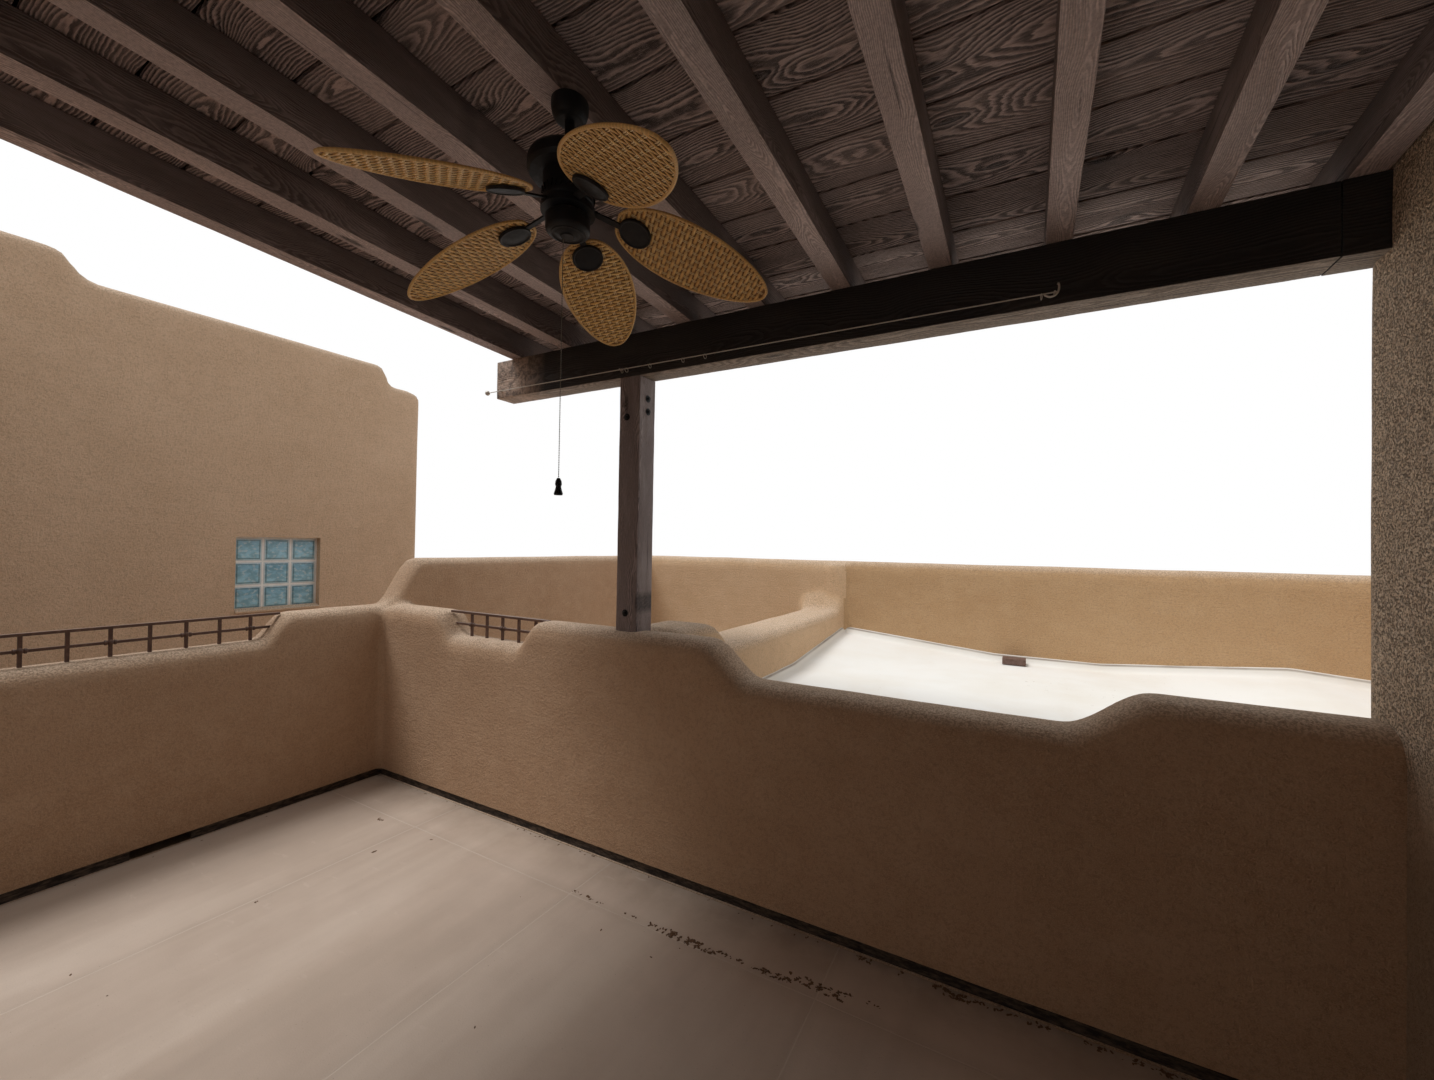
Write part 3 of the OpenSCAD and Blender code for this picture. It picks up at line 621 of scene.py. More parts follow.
def woodMaterial(name, v):
    p = Paint(name)
    grain = p.attribute("grain", "Vector")
    plank = p.attribute("plank")
    chance = p.add("ShaderNodeTexWhiteNoise", {"W": plank}, noise_dimensions="1D")
    shift = p.combine(p.times(chance, 37.0), p.times(plank, 5.3), chance)
    there = p.vector("ADD", grain, shift)
    x, y, z = p.separate(grain)
    sway = p.ramp(p.streaks((1.3, 0, 0), 2, 0.5, there), 0.2, 0.8, -0.06, 0.06)
    sink = p.ramp(p.streaks((1.0, 0.6, 0), 2, 0.5, there), 0.2, 0.8, -0.05, 0.075)
    wobble = p.ramp(p.streaks((3.5, 13, 13), 4, 0.7, there), 0, 1, -0.012, 0.012)
    knots = p.add("ShaderNodeTexVoronoi", {"Vector": p.stretch((1.15, 4.5, 0.0), there), "Scale": 1.0,
                                           "Randomness": 1.0}, voronoi_dimensions="2D")
    pull = p.math("POWER", p.ramp(knots, 0.0, 0.42, 1, 0), 2.2)
    offset = p.times(p.minus(chance, 0.5), 0.14)
    across = p.plus(p.plus(y, offset), sway)
    depth = p.plus(p.plus(z, 0.045), sink)
    radius = p.math("SQRT", p.plus(p.math("POWER", across, 2.0), p.math("POWER", depth, 2.0)))
    radius = p.plus(p.plus(radius, wobble), p.times(pull, 0.045))
    ring = p.math("FRACT", p.over(radius, v["ring"]))
    crest = p.times(p.ramp(ring, 0.28, 0.72), p.ramp(ring, 0.86, 1.0, 1, 0))
    fibre = p.streaks((9, 330, 330), 3, 0.6, there)
    ridge = p.plus(p.times(crest, 0.8), p.times(fibre, 0.35))
    checks = p.ramp(p.streaks((1.6, 60, 60), 2, 0.5, there), 0.69, 0.73, 0, v["check"])
    heart = p.ramp(knots, 0.035, 0.075, 1, 0)
    broad = p.streaks((2.2, 9, 9), 4, 0.6, there)
    p.colour = p.mix(p.ramp(ridge, 0.15, 1.0), v["valley"], v["ridge"])
    p.lay(v["pale"], broad, 0.48, 0.75, 0, v["wear"])
    p.lay(v["pale"], p.times(p.minus(chance, 0.35), 0.3 - 0.25 * v["under"]))
    # painted light: faces that look down are paler, as if lit from below
    bare = p.times(p.ramp(p.upward(), -0.5, -0.85), p.ramp(ridge, 0.1, 0.9, 0.5 * v["under"], v["under"]))
    bare = p.times(bare, p.ramp(p.noise(110, 3, 0.65), 0.36, 0.62, 0.62, 1.0))
    p.lay(v["pale"], bare)
    if "bareEnd" in v:
        # the free end: weathered, and paler also as painted light
        firstPlank = p.math("LESS_THAN", plank, 91.5)
        worn = p.times(p.ramp(x, v["bareEnd"] * 0.5, v["bareEnd"], 1, 0), firstPlank)
        worn = p.times(worn, p.ramp(p.noise(34, 4, 0.7), 0.40, 0.58, 0.35, 1.0))
        p.lay(v["weathered"], worn)
    p.lay((0.012, 0.009, 0.008), p.math("MAXIMUM", checks, p.times(heart, 0.8)))
    height = p.minus(crest, p.times(checks, 1.5))
    return p.finish(p.ramp(ridge, 0, 1, 0.82, 0.62), p.bump(height, v["raised"]))


wood = {key: woodMaterial(key + "Wood", v) for key, v in woodValues.items()}


def timberTree():
    g = Growth("sawnTimber", Length="Float", Width="Float", Height="Float", Round="Float", Step="Float",
               Count="Int", Pitch="Vector", Rough="Float", Material="Material")
    along = g.line((0, 0, 0), g.combine(g["Length"]), g.math("CEIL", g.over(g["Length"], g["Step"])))
    side = g.geo("CurvePrimitiveQuadrilateral", {"Width": g["Width"], "Height": g["Height"]})
    side = g.geo("FilletCurve", {"Curve": side, "Radius": g["Round"], "Count": 2}, mode="POLY")
    side = g.geo("SubdivideCurve", {"Curve": side, "Cuts": 2})
    stick = g.sweep(along, side)
    stick = g.store(stick, "grain", g.place(), "FLOAT_VECTOR")
    sticks = g.copies(g.row(g["Count"], (0, 0, 0), g["Pitch"]), stick)
    sticks = g.realized(g.store(sticks, "plank", g.index(), domain="INSTANCE"))
    rough = g.noise(1.0, 3, 0.6, g.vector("MULTIPLY", g.place(), (5, 21, 21)))
    push = g.times(g.minus(rough, 0.78), g["Rough"])
    return g.finishCoated(g.moved(sticks, g.vector("SCALE", g.geo("InputNormal"), scale=push)))


timber = timberTree()


def sticks(name, look, size, origin, along, across, count=1, pitch=(0, 0, 0), rounding=0.004, step=0.04,
           rough=0.004, first=0):
    obj = grow(name, timber, Length=size[0], Width=size[1], Height=size[2], Round=rounding, Step=step,
               Count=count, Pitch=pitch, Rough=rough, Material=wood[look])
    obj.data.transform(placing(origin, along, across))
    for item in obj.data.attributes["plank"].data:
        item.value += first
    sharpen(obj.data, 40)
    return obj


def lying(name, look, low, high, first, **more):     # a timber along x that fills this box
    middle = (low + high) / 2
    return sticks(name, look, high - low, (low.x, middle.y, middle.z), (1, 0, 0), (0, 1, 0),
                  first=first, **more)


timberValues = {
    "fall": math.radians(2.64), "rafterPitch": 0.4064, "rafter": (0.089, 0.140), "rafters": 9,
    "board": 0.22633, "boardGap": 0.009, "boardThick": 0.0235, "boards": 18,
    "boardSeat": 0.0003,     # boards lie this far over the rafters
    "beamJoint": 2.684, "beamGap": 0.003,     # where the end piece of the beam starts
    "bolts": [((0.070, 0.026, 2.638), (1, 0, 0)), ((0.070, 0.029, 2.568), (1, 0, 0)),
              ((-0.016, -0.043, 2.534), (0, -1, 0)), ((-0.005, -0.043, 1.482), (0, -1, 0))],
}


def makeCeiling(v):
    rafterLow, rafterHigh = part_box("rafters")
    width, depth = v["rafter"]
    slope = Vector((0, math.cos(v["fall"]), -math.sin(v["fall"])))
    up = Vector((1, 0, 0)).cross(slope)
    long = (rafterHigh.y - rafterLow.y) / math.cos(v["fall"])
    # the rafters' underside passes through the beam's inner top edge
    rearZ = beamHigh.z + (beamLow.y - rafterLow.y) * math.tan(v["fall"])
    rear = Vector((rafterLow.x + width / 2, rafterLow.y, rearZ)) + up * depth / 2
    regular = sticks("regular", "rafters", (long, width, depth), rear, slope, (-1, 0, 0),
                     v["rafters"], (0, -v["rafterPitch"], 0))
    last = Vector((deckHigh.x - width / 2, rear.y, rear.z))     # against the right wall
    wallSide = sticks("wallSide", "rafters", (long, width, depth), last, slope, (-1, 0, 0),
                      first=v["rafters"])
    part(joined("rafterSticks", [regular, wallSide]), "timber", "rafters")

    boardLow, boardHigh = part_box("ceiling_boards")
    seatZ = depth + v["boardSeat"] + v["boardThick"] / 2
    half = v["board"] / 2
    # name, width, start and count of the boards, and the first one's number
    rows = [("first", half, 0, 1, 40), ("boards", v["board"], half, v["boards"], 41),
            ("last", half, half + v["boards"] * v["board"], 1, 70)]
    made = []
    for label, wide, start, count, first in rows:
        size = (boardHigh.x - boardLow.x, wide - v["boardGap"], v["boardThick"])
        origin = Vector((boardLow.x, rafterLow.y, rearZ)) + up * seatZ + slope * (start + wide / 2)
        made.append(sticks(label, "boards", size, origin, (1, 0, 0), slope, count, (0, v["board"], 0),
                           rounding=0.0025, step=0.05, rough=0.003, first=first))
    part(joined("ceilingPlanks", made), "boards", "ceiling_boards")


def makeBearers(v):
    part(lying("ledgerStick", "rafters", *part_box("roof_ledger"), 80), "timber", "roof_ledger")
    joint = v["beamJoint"]
    long = lying("beamLong", "beam", beamLow, Vector((joint, beamHigh.y, beamHigh.z)), 90,
                 rounding=0.005, step=0.022, rough=0.005)
    end = lying("beamEnd", "beam", Vector((joint + v["beamGap"], beamLow.y, beamLow.z)), beamHigh, 93,
                rounding=0.003, step=0.03, rough=0.002)
    part(joined("headerStick", [long, end]), "timber", "header_beam")
    size, middle = postHigh - postLow, (postLow + postHigh) / 2
    part(sticks("postStick", "post", (size.z, size.x, size.y), (middle.x, middle.y, postLow.z), (0, 0, 1),
                (1, 0, 0), rounding=0.006, step=0.022, rough=0.006, first=97), "timber", "post")
    part(lying("lintelStick", "rafters", *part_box("door_lintel"), 99), "timber", "door_lintel")


makeCeiling(timberValues)
makeBearers(timberValues)
print("timber made")


def coat(material, *names):
    for n in names:
        for held in nodes[n].material_slots:
            held.material = material


def turnedShape(name, profile, sides=32):     # a closed round body about z, from its foot up
    points, faces = [], []
    for r, z in profile:
        points += [(r * math.cos(2 * math.pi * k / sides), r * math.sin(2 * math.pi * k / sides), z)
                   for k in range(sides)]
    for i in range(len(profile) - 1):
        for k in range(sides):
            a, b = i * sides + k, i * sides + (k + 1) % sides
            faces.append((a, b, b + sides, a + sides))
    last = (len(profile) - 1) * sides
    faces.append(tuple(range(sides))[::-1])
    faces.append(tuple(range(last, last + sides)))
    obj = meshObject(name, points, faces)
    sharpen(obj.data, 35)
    return obj


def ringShape(name, radius, tube, around=24, sides=8):
    turns = [2 * math.pi * i / around for i in range(around)]
    bends = [2 * math.pi * k / sides for k in range(sides)]
    points = [((radius + tube * math.cos(b)) * math.cos(a), (radius + tube * math.cos(b)) * math.sin(a),
               tube * math.sin(b)) for a in turns for b in bends]
    faces = []
    for i in range(around):
        here, there = i * sides, (i + 1) % around * sides
        for k in range(sides):
            after = (k + 1) % sides
            faces.append((here + k, there + k, there + after, here + after))
    return meshObject(name, points, faces, True)


def settingTree():
    g = Growth("setPieces", Geometry="Geometry", Shape="Object", Material="Material")
    shape = g.geo("ObjectInfo", {"Object": g["Shape"]}, "Geometry")
    facing = g.attribute("facing", "FLOAT_VECTOR")
    size = g.attribute("size")
    turn = g.add("FunctionNodeAlignRotationToVector", {"Vector": facing}, axis="Z")
    return g.finishCoated(g.copies(g["Geometry"], shape, Rotation=turn, Scale=size))


setting = settingTree()


def setPieces(name, shape, places, material):     # places: point, direction and size of each
    mesh = bpy.data.meshes.new(name)
    mesh.from_pydata([tuple(p[0]) for p in places], [], [])
    pointValues(mesh, "facing", [p[1] for p in places], "FLOAT_VECTOR")
    pointValues(mesh, "size", [p[2] if len(p) > 2 else 1.0 for p in places])
    obj = grow(name, setting, mesh, Shape=shape, Material=material)
    bpy.data.objects.remove(shape)
    return obj


# Metal finishes
def blackMaterial():
    p = Paint("mattBlack")
    dust = p.times(p.ramp(p.upward(), 0.3, 1.0, 0, 0.8), p.ramp(p.noise(30, 4), 0.35, 0.65))
    p.colour = p.mix(p.noise(14, 3), (0.006, 0.006, 0.007), (0.013, 0.013, 0.015))
    p.lay((0.16, 0.13, 0.10), dust)
    return p.finish(p.ramp(p.noise(60, 3), 0.3, 0.7, 0.45, 0.62), p.bump(p.noise(450, 2), 0.0003),
                    {"Specular IOR Level": 0.3})


def ironMaterial():
    p = Paint("brownIron")
    worn = p.ramp(p.noise(38, 4, 0.65), 0.5, 0.68)
    p.colour = p.mix(p.noise(12, 3), (0.085, 0.042, 0.030), (0.125, 0.066, 0.046))
    p.lay((0.21, 0.125, 0.085), p.times(worn, 0.6))
    # painted highlight: faces that look up are paler
    p.lay((0.33, 0.25, 0.20), p.upward(), 0.5, 1.0, 0, 0.45)
    return p.finish(p.ramp(worn, 0, 1, 0.55, 0.8), p.bump(p.noise(220, 3, 0.6), 0.0006))


def stripMaterial():
    p = Paint("dirtyStrip")
    dirt = p.ramp(p.noise(22, 5, 0.65, p.stretch((1, 1, 4))), 0.42, 0.66)
    p.colour = p.mix(dirt, (0.018, 0.013, 0.011), (0.125, 0.092, 0.068))
    return p.finish(0.8, p.bump(p.noise(80, 3), 0.0015))


def drainMaterial():
    p = Paint("rustyDrain")
    rust = p.ramp(p.noise(45, 5, 0.6), 0.4, 0.65)
    p.colour = p.mix(rust, (0.17, 0.105, 0.085), (0.11, 0.055, 0.035))
    return p.finish(0.7, p.bump(p.noise(160, 3), 0.0008))


black, iron = blackMaterial(), ironMaterial()
coat(black, "fan_canopy", "fan_motor_housing", "fan_switch_housing", "fan_blade_carrier", "chain_pull")
coat(iron, "left_railing", "front_railing")
wireMetal = metalMaterial("dullZinc", 120, 3, (0.52, 0.47, 0.41), (0.80, 0.75, 0.68), 0.5, 0.25)
coat(wireMetal, "curtain_wire")
coat(stripMaterial(), "base_flashing")
coat(drainMaterial(), "roof_drain")

bolt = turnedShape("bolt", [(0.019, 0), (0.019, 0.002), (0.0165, 0.003), (0.0105, 0.003), (0.0105, 0.009),
                            (0.008, 0.012), (0.003, 0.013)], 24)
part(setPieces("postBolts", bolt, timberValues["bolts"], black), "iron")
wireValues = {
    "y": -0.059, "z": 2.791, "rings": [-0.043, -0.012, 0.142, 0.346, 0.475, 1.905], "radius": 0.011,
    "hook": [(1.957, -0.040, 2.826), (1.958, -0.057, 2.825), (1.961, -0.060, 2.806), (1.956, -0.060, 2.786),
             (1.943, -0.060, 2.776), (1.926, -0.060, 2.776), (1.914, -0.060, 2.787)],
    "hookThick": 0.0036, "wireRadius": 0.0025,
}
ringHigh = wireValues["z"] - wireValues["radius"] + wireValues["wireRadius"]     # they hang on the wire
rings = [((x, wireValues["y"], ringHigh), (1, 0.2 * math.sin(90 * x), 0)) for x in wireValues["rings"]]
part(setPieces("curtainRings", ringShape("ring", wireValues["radius"], 0.0014), rings, wireMetal), "iron")


def bentTube(name, points, radius, material):     # a round rod through these points
    bend = bpy.data.curves.new(name, "CURVE")
    bend.dimensions = "3D"
    bend.bevel_depth = radius
    bend.bevel_resolution = 3
    bend.use_fill_caps = True
    line = bend.splines.new("NURBS")
    line.points.add(len(points) - 1)
    for spot, p in zip(line.points, points):
        spot.co = (*p, 1.0)
    line.use_endpoint_u = True
    line.order_u = 3
    path = linkObject(name + "Path", bend)
    rod = linkObject(name, shapedMesh(path))
    bpy.data.objects.remove(path)
    rod.data.materials.clear()
    rod.data.materials.append(material)
    return rod


part(bentTube("wireHook", wireValues["hook"], wireValues["hookThick"], wireMetal), "iron")
railValues = {"pitch": 0.146, "leftFirst": 0.102, "frontFirst": 0.200, "middle": 1.305, "margin": 0.09}


def makeKnots(v):     # forged knots where every other baluster crosses the middle bar
    left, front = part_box("left_railing"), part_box("front_railing")
    places = []
    for low, high, axis, first in ((*left, 1, v["leftFirst"] + v["pitch"]), (*front, 0, v["frontFirst"])):
        spot = (low + high) / 2
        spot.z = v["middle"]
        along = Vector((axis == 0, axis == 1, 0))
        spot[axis] = low[axis] + first
        while spot[axis] < high[axis] - v["margin"]:
            places.append((spot.copy(), along))
            spot[axis] += 2 * v["pitch"]
    half = [(0.0072, -0.025), (0.0125, -0.021), (0.0130, -0.015), (0.0095, -0.010), (0.0165, -0.005)]
    knot = turnedShape("knot", half + [(0.0175, 0.0)] + [(r, -z) for r, z in half[::-1]], 14)
    part(setPieces("railKnots", knot, places, iron), "iron")


makeKnots(railValues)
print("metal finished")

# Ceiling fan: palm-leaf blades woven over a dark sheet, whose colour paints the shade in the weave's gaps
fanValues = {
    "axis": (0.7721, -1.298), "bladeZ": 2.7339, "root": 0.132, "pitch": math.radians(-14.8),
    "slope": math.radians(18.4), "phase": -100.4, "long": 0.4553, "half": 0.1155,
    "weft": 0.0125, "weftWide": 0.0096, "stake": 0.024, "stakeWide": 0.0034, "thick": 0.0017,
    "swell": 0.0014, "rim": 0.0042, "rimBead": 0.0085, "core": 0.0006, "lift": 0.0038,
    "medallion": (0.052, 0.046),     # its place and radius
    "iron": 0.0053,     # the iron's depth below the leaf
    "fins": (0.0668, 2.787, 30),     # how far out, how high and how many
    "bead": 0.04, "beads": (0.0425, 0.031), "beadZ": 2.6838,
}


def leafMaterial():
    p = Paint("palmLeaf")
    strand, crest = p.attribute("strand"), p.attribute("crest")
    chance = p.add("ShaderNodeTexWhiteNoise", {"W": strand}, noise_dimensions="1D")
    streak = p.streaks((420, 420, 420), 3, 0.6)
    p.colour = p.mix(chance, (0.88, 0.49, 0.145), (1.0, 0.66, 0.25))
    stakes = p.times(p.math("GREATER_THAN", strand, 99.5), p.math("LESS_THAN", strand, 199.5))
    p.lay((0.93, 0.70, 0.36), stakes)
    # painted shade: darker where the strands dip under, and between the rim's beads
    p.lay((0.27, 0.115, 0.03), crest, -0.6, 0.9, 0.36, 0)
    p.lay((0.92, 0.66, 0.33), streak, 0.45, 0.75, 0, 0.35)
    p.lay((0.42, 0.23, 0.09), p.noise(9, 3), 0.45, 0.7, 0, 0.2)
    return p.finish(0.55, p.bump(streak, 0.0004))


def gapShadeMaterial():
    p = Paint("gapShadeSheet")
    # painted shade: the dark brown seen through the weave's gaps
    p.colour = p.mix(p.noise(260, 3, 0.6), (0.24, 0.11, 0.038), (0.40, 0.20, 0.075))
    return p.finish(0.75, p.bump(p.noise(700, 2), 0.0004))


def leafHalf(g, x):     # half the leaf's width at x
    u = g.ramp(g.over(x, g["Long"]), 0.0, 1.0)
    s = g.math("POWER", g.plus(g.times(u, 0.985), 0.01), 0.83)
    s = g.math("MAXIMUM", g.math("SINE", g.times(s, math.pi)), 0.0)
    return g.times(g.math("POWER", s, 0.48), g["Half"])


def leafStrands(g, curves, wide):     # flattened strands along these curves
    upright = g.geo("SetCurveNormal", {"Curve": curves}, mode="Z_UP")
    section = g.turned(g.circle(4, 0.5), Scale=g.combine(wide, g["Thick"], 1.0))
    return g.sweep(upright, section)


def leafWefts(g):     # from side to side, over and under the stakes
    across = g.line((0, -1, 0), (0, 1, 0), 61)
    number = g.minus(g.math("FLOOR", g.over(g["Long"], g["Weft"])), 1.0)
    step = g.combine(g["Weft"])
    wefts = g.copies(g.row(number, step, step), across)
    wefts = g.realized(g.store(wefts, "strand", g.index(), domain="INSTANCE"))
    x, y = g.separate(g.place())[:2]
    wide = g.times(y, g.minus(leafHalf(g, x), g["Rim"]))
    beat = g.plus(g.over(wide, g["Stake"]), g.math("ROUND", g.over(x, g["Weft"])))
    wave = g.math("COSINE", g.times(beat, math.pi))
    lift = g.times(g.minus(g.times(wave, -1.0), 0.45), g["Swell"])
    wefts = g.store(wefts, "crest", wave)
    return leafStrands(g, g.moved(wefts, position=g.combine(x, wide, lift)), g["WeftWide"])


def leafStakes(g):     # lengthwise and in pairs, cut off at the rim
    pairs = 9
    along = g.line((0, 0, 0), g.combine(g["Long"]), 76)
    stakes = g.copies(g.row(2 * pairs, (0, 0, 0), (0, 0, 0)), along)
    stakes = g.store(stakes, "strand", g.plus(g.index(), 100.0), domain="INSTANCE")
    pair = g.times(g.minus(g.math("FLOOR", g.over(g.index(), 2.0)), (pairs - 1) / 2), g["Stake"])
    side = g.times(g.minus(g.math("MODULO", g.index(), 2.0), 0.5), g.times(g["StakeWide"], 1.35))
    there = g.combine(0.0, g.plus(pair, side))
    stakes = g.realized(g.geo("TranslateInstances", {"Instances": stakes, "Translation": there}))
    x, y = g.separate(g.place())[:2]
    outside = g.math("GREATER_THAN", g.math("ABSOLUTE", y), g.minus(leafHalf(g, x), g["Rim"]))
    stakes = g.geo("DeleteGeometry", {"Geometry": stakes, "Selection": outside}, domain="POINT")
    beat = g.plus(g.over(x, g["Weft"]), g.math("ROUND", g.over(y, g["Stake"])))
    weave = g.math("COSINE", g.times(beat, math.pi))
    stakes = g.store(stakes, "crest", 0.8)
    stakes = g.moved(stakes, g.combine(z=g.times(weave, g.times(g["Swell"], 0.5))))
    return leafStrands(g, stakes, g["StakeWide"])


def leafOutline(g):     # a ring whose points go to the leaf's edge
    x, y = g.separate(g.place())[:2]
    run = g.times(g.minus(1.0, x), g.times(g["Long"], 0.5))
    edge = g.times(g.math("SIGN", y), g.minus(leafHalf(g, run), g["Rim"]))
    return g.moved(g.circle(240, 1.0), position=g.combine(run, edge))


def leafRim(g, outline, v):
    outline = g.geo("ResampleCurve", {"Curve": outline, "Length": 0.0028}, mode="LENGTH")
    length = g.geo("SplineParameter", output="Length")
    bead = g.plus(g.times(g.math("COSINE", g.times(length, 2 * math.pi / v["rimBead"])), 0.15), 0.85)
    outline = g.store(outline, "crest", g.ramp(bead, 0.84, 1.0, -0.9, 0.7))
    outline = g.store(outline, "strand", 200.0)
    outline = g.geo("SetCurveRadius", {"Curve": outline, "Radius": bead})
    return g.sweep(outline, g.circle(8, g["Rim"]))


def gapShadeSheet(g, outline, v):     # a thin sheet that closes the gaps of the weave; its dark colour is painted shade
    sheet = g.geo("FillCurve", {"Curve": outline})
    flipped = g.geo("FlipFaces", {"Mesh": sheet})
    rise = {"Mesh": sheet, "Offset Scale": v["core"], "Individual": False}
    top = g.geo("ExtrudeMesh", rise, mode="FACES")
    return g.geo("MergeByDistance", {"Geometry": g.gather(flipped, top), "Distance": 0.00005})


def leafTree(v, leaf, core):
    g = Growth("wovenLeaves", Long="Float", Half="Float", Weft="Float", WeftWide="Float", Stake="Float",
               StakeWide="Float", Thick="Float", Swell="Float", Rim="Float", Count="Int")
    outline = leafOutline(g)
    woven = g.coated(g.gather(leafWefts(g), leafStakes(g), leafRim(g, outline, v)), leaf)
    closed = g.coated(gapShadeSheet(g, outline, v), core)
    flat = g.turned(g.gather(woven, closed), Translation=(0, 0, v["lift"]))
    tilted = g.turned(flat, Translation=(v["root"], 0, 0), Rotation=(v["pitch"], v["slope"], 0))
    turn = g.minus(math.radians(v["phase"]), g.times(g.index(), 2 * math.pi / 5))
    leaves = g.copies(g.row(g["Count"], (0, 0, 0), (0, 0, 0)), tilted, Rotation=g.combine(z=turn))
    return g.finish(g.realized(leaves))


def bladeFrame(v, i):
    x, y = v["axis"]
    return (Matrix.Translation((x, y, v["bladeZ"]))
            @ Matrix.Rotation(math.radians(v["phase"] - 72 * i), 4, "Z")
            @ Matrix.Translation((v["root"], 0, 0))
            @ Euler((v["pitch"], v["slope"], 0)).to_matrix().to_4x4())


def makeBlades(v):
    sizes = {key[0].upper() + key[1:]: v[key] for key in
             ("long", "half", "weft", "weftWide", "stake", "stakeWide", "thick", "swell", "rim")}
    leaves = grow("wovenBlades", leafTree(v, leafMaterial(), gapShadeMaterial()), Count=5, **sizes)
    leaves.data.transform(Matrix.Translation((*v["axis"], v["bladeZ"])))
    leaves.data.shade_smooth()
    print("blades", len(leaves.data.loops) - 2 * len(leaves.data.polygons), "triangles")
    part(leaves, "palm_leaf", *["fan_blade_%d" % i for i in range(1, 6)], body="fan_rotor")


def makeMedallions(v):     # round plates under the leaves
    at, radius = v["medallion"]
    dish = turnedShape("dish", [(radius, 0), (radius, 0.0012), (radius - 0.001, 0.0030),
                                (radius - 0.003, 0.0036), (radius - 0.005, 0.0030), (radius - 0.007, 0.0010),
                                (radius * 0.5, 0.0022), (0.004, 0.0028)], 40)
    places = []
    for i in range(5):
        place = bladeFrame(v, i)
        places.append((place @ Vector((at, 0, -v["iron"])), place.to_3x3() @ Vector((0, 0, -1))))
    part(setPieces("bladeMedallions", dish, places, black), "fan_black", body="fan_rotor")


def makeHousingTrim(v):
    fin = meshObject("fin", boxPoints((-0.0012, -0.010, -0.001), (0.0012, 0.010, 0.004)), boxFaces)
    x, y = v["axis"]
    far, high, count = v["fins"]
    turns = [(math.cos(a), math.sin(a)) for a in np.arange(count) * 2 * math.pi / count]
    fins = [((x + far * c, y + far * s, high), (c, s, 0)) for c, s in turns]
    part(setPieces("motorFins", fin, fins, black), "fan_black")
    bead = v["bead"]
    beads = [((x, y, v["beadZ"]), (0, 0, -1), r / bead) for r in v["beads"]]
    part(setPieces("housingBeads", ringShape("bead", bead, 0.0016, 48), beads, black), "fan_black")


for make in (makeBlades, makeMedallions, makeHousingTrim):
    make(fanValues)
print("fan made")

# Glass-block window
windowValues = {
    "side": 0.1873, "pitch": 0.1993, "depth": 0.095, "bulge": 0.005, "wave": 0.0035,
    "sillProud": 0.012, "sillBack": 0.026, "sillFront": 0.004, "sillUnder": 0.012,
}


def glassMaterial(low, v):
    p = Paint("wavyGlass")
    y, z = p.separate(p.where)[1:]

    def across(c, start):     # from 0 at a block's low side
        return p.math("FRACT", p.over(p.minus(c, start), v["pitch"]))

    def inside(f):     # metres from the block's nearer side
        return p.times(p.math("MINIMUM", f, p.minus(v["side"] / v["pitch"], f)), v["pitch"])

    high = across(z, low.z)
    edge = p.math("MINIMUM", inside(across(y, low.y)), inside(high))
    # painted reflection: blue, lighter at the bottom of each block and darker at its top
    p.colour = p.mix(p.ramp(high, 0.12, 0.85), (0.48, 0.84, 1.0), (0.28, 0.57, 0.76))
    ripple = p.noise(17, 2, 0.5, p.stretch((1, 1, 1.7)))
    # painted refraction: dark and pale ripples
    p.lay((0.12, 0.28, 0.36), ripple, 0.40, 0.56, 0.42, 0)
    p.lay((0.74, 0.88, 0.92), p.noise(30, 2, 0.5, p.stretch((1, 1, 1.5))), 0.54, 0.66, 0, 0.6)
    p.lay((0.82, 0.86, 0.86), edge, 0.007, 0.013, 0.9, 0)     # solid rim, paler: painted refraction
    # painted refraction: a dark frame where the inner cavity shows through
    cavityRefraction = p.times(p.ramp(edge, 0.011, 0.016), p.ramp(edge, 0.018, 0.027, 0.7, 0))
    p.lay((0.07, 0.13, 0.14), cavityRefraction)
    return p.finish(0.09, p.bump(p.noise(22, 2), 0.004), {"Transmission Weight": 0.15, "IOR": 1.5})


def mortarMaterial():
    p = Paint("whiteMortar")
    p.colour = p.mix(p.ramp(p.noise(25, 4), 0.35, 0.7), (0.95, 0.95, 0.92), (0.82, 0.80, 0.76))
    return p.finish(0.9, p.bump(p.noise(240, 3), 0.0012))


def pillowTree():
    g = Growth("glassPillows", Side="Float", Pitch="Float", Depth="Float", Bulge="Float", Wave="Float",
               Material="Material")
    block = g.geo("MeshCube", {"Size": g.combine(g["Side"], g["Side"], g["Depth"]),
                               "Vertices X": 17, "Vertices Y": 17, "Vertices Z": 4})
    x, y, z = g.separate(g.place())

    def fade(c):     # 1 in the middle of the block, 0 at its side
        return g.minus(1.0, g.math("POWER", g.math("ABSOLUTE", g.over(g.times(c, 2.0), g["Side"])), 5.0))

    mask = g.times(fade(x), fade(y))
    inward = g.times(g.math("SIGN", z), g.times(g["Bulge"], g.minus(mask, 1.0)))
    block = g.store(g.moved(block, g.combine(z=inward)), "middle", g.times(mask, g.math("SIGN", z)))
    wide = g.times(g["Pitch"], 2.0)
    places = g.geo("MeshGrid", {"Size X": wide, "Size Y": wide, "Vertices X": 3, "Vertices Y": 3})
    blocks = g.realized(g.copies(places, block))
    middle = g.attribute("middle")
    ripple = g.minus(g.noise(21.0, 1.0, 0.5, g.place()), 0.75)
    return g.finishCoated(g.moved(blocks, g.combine(z=g.times(middle, g.times(ripple, g["Wave"])))))


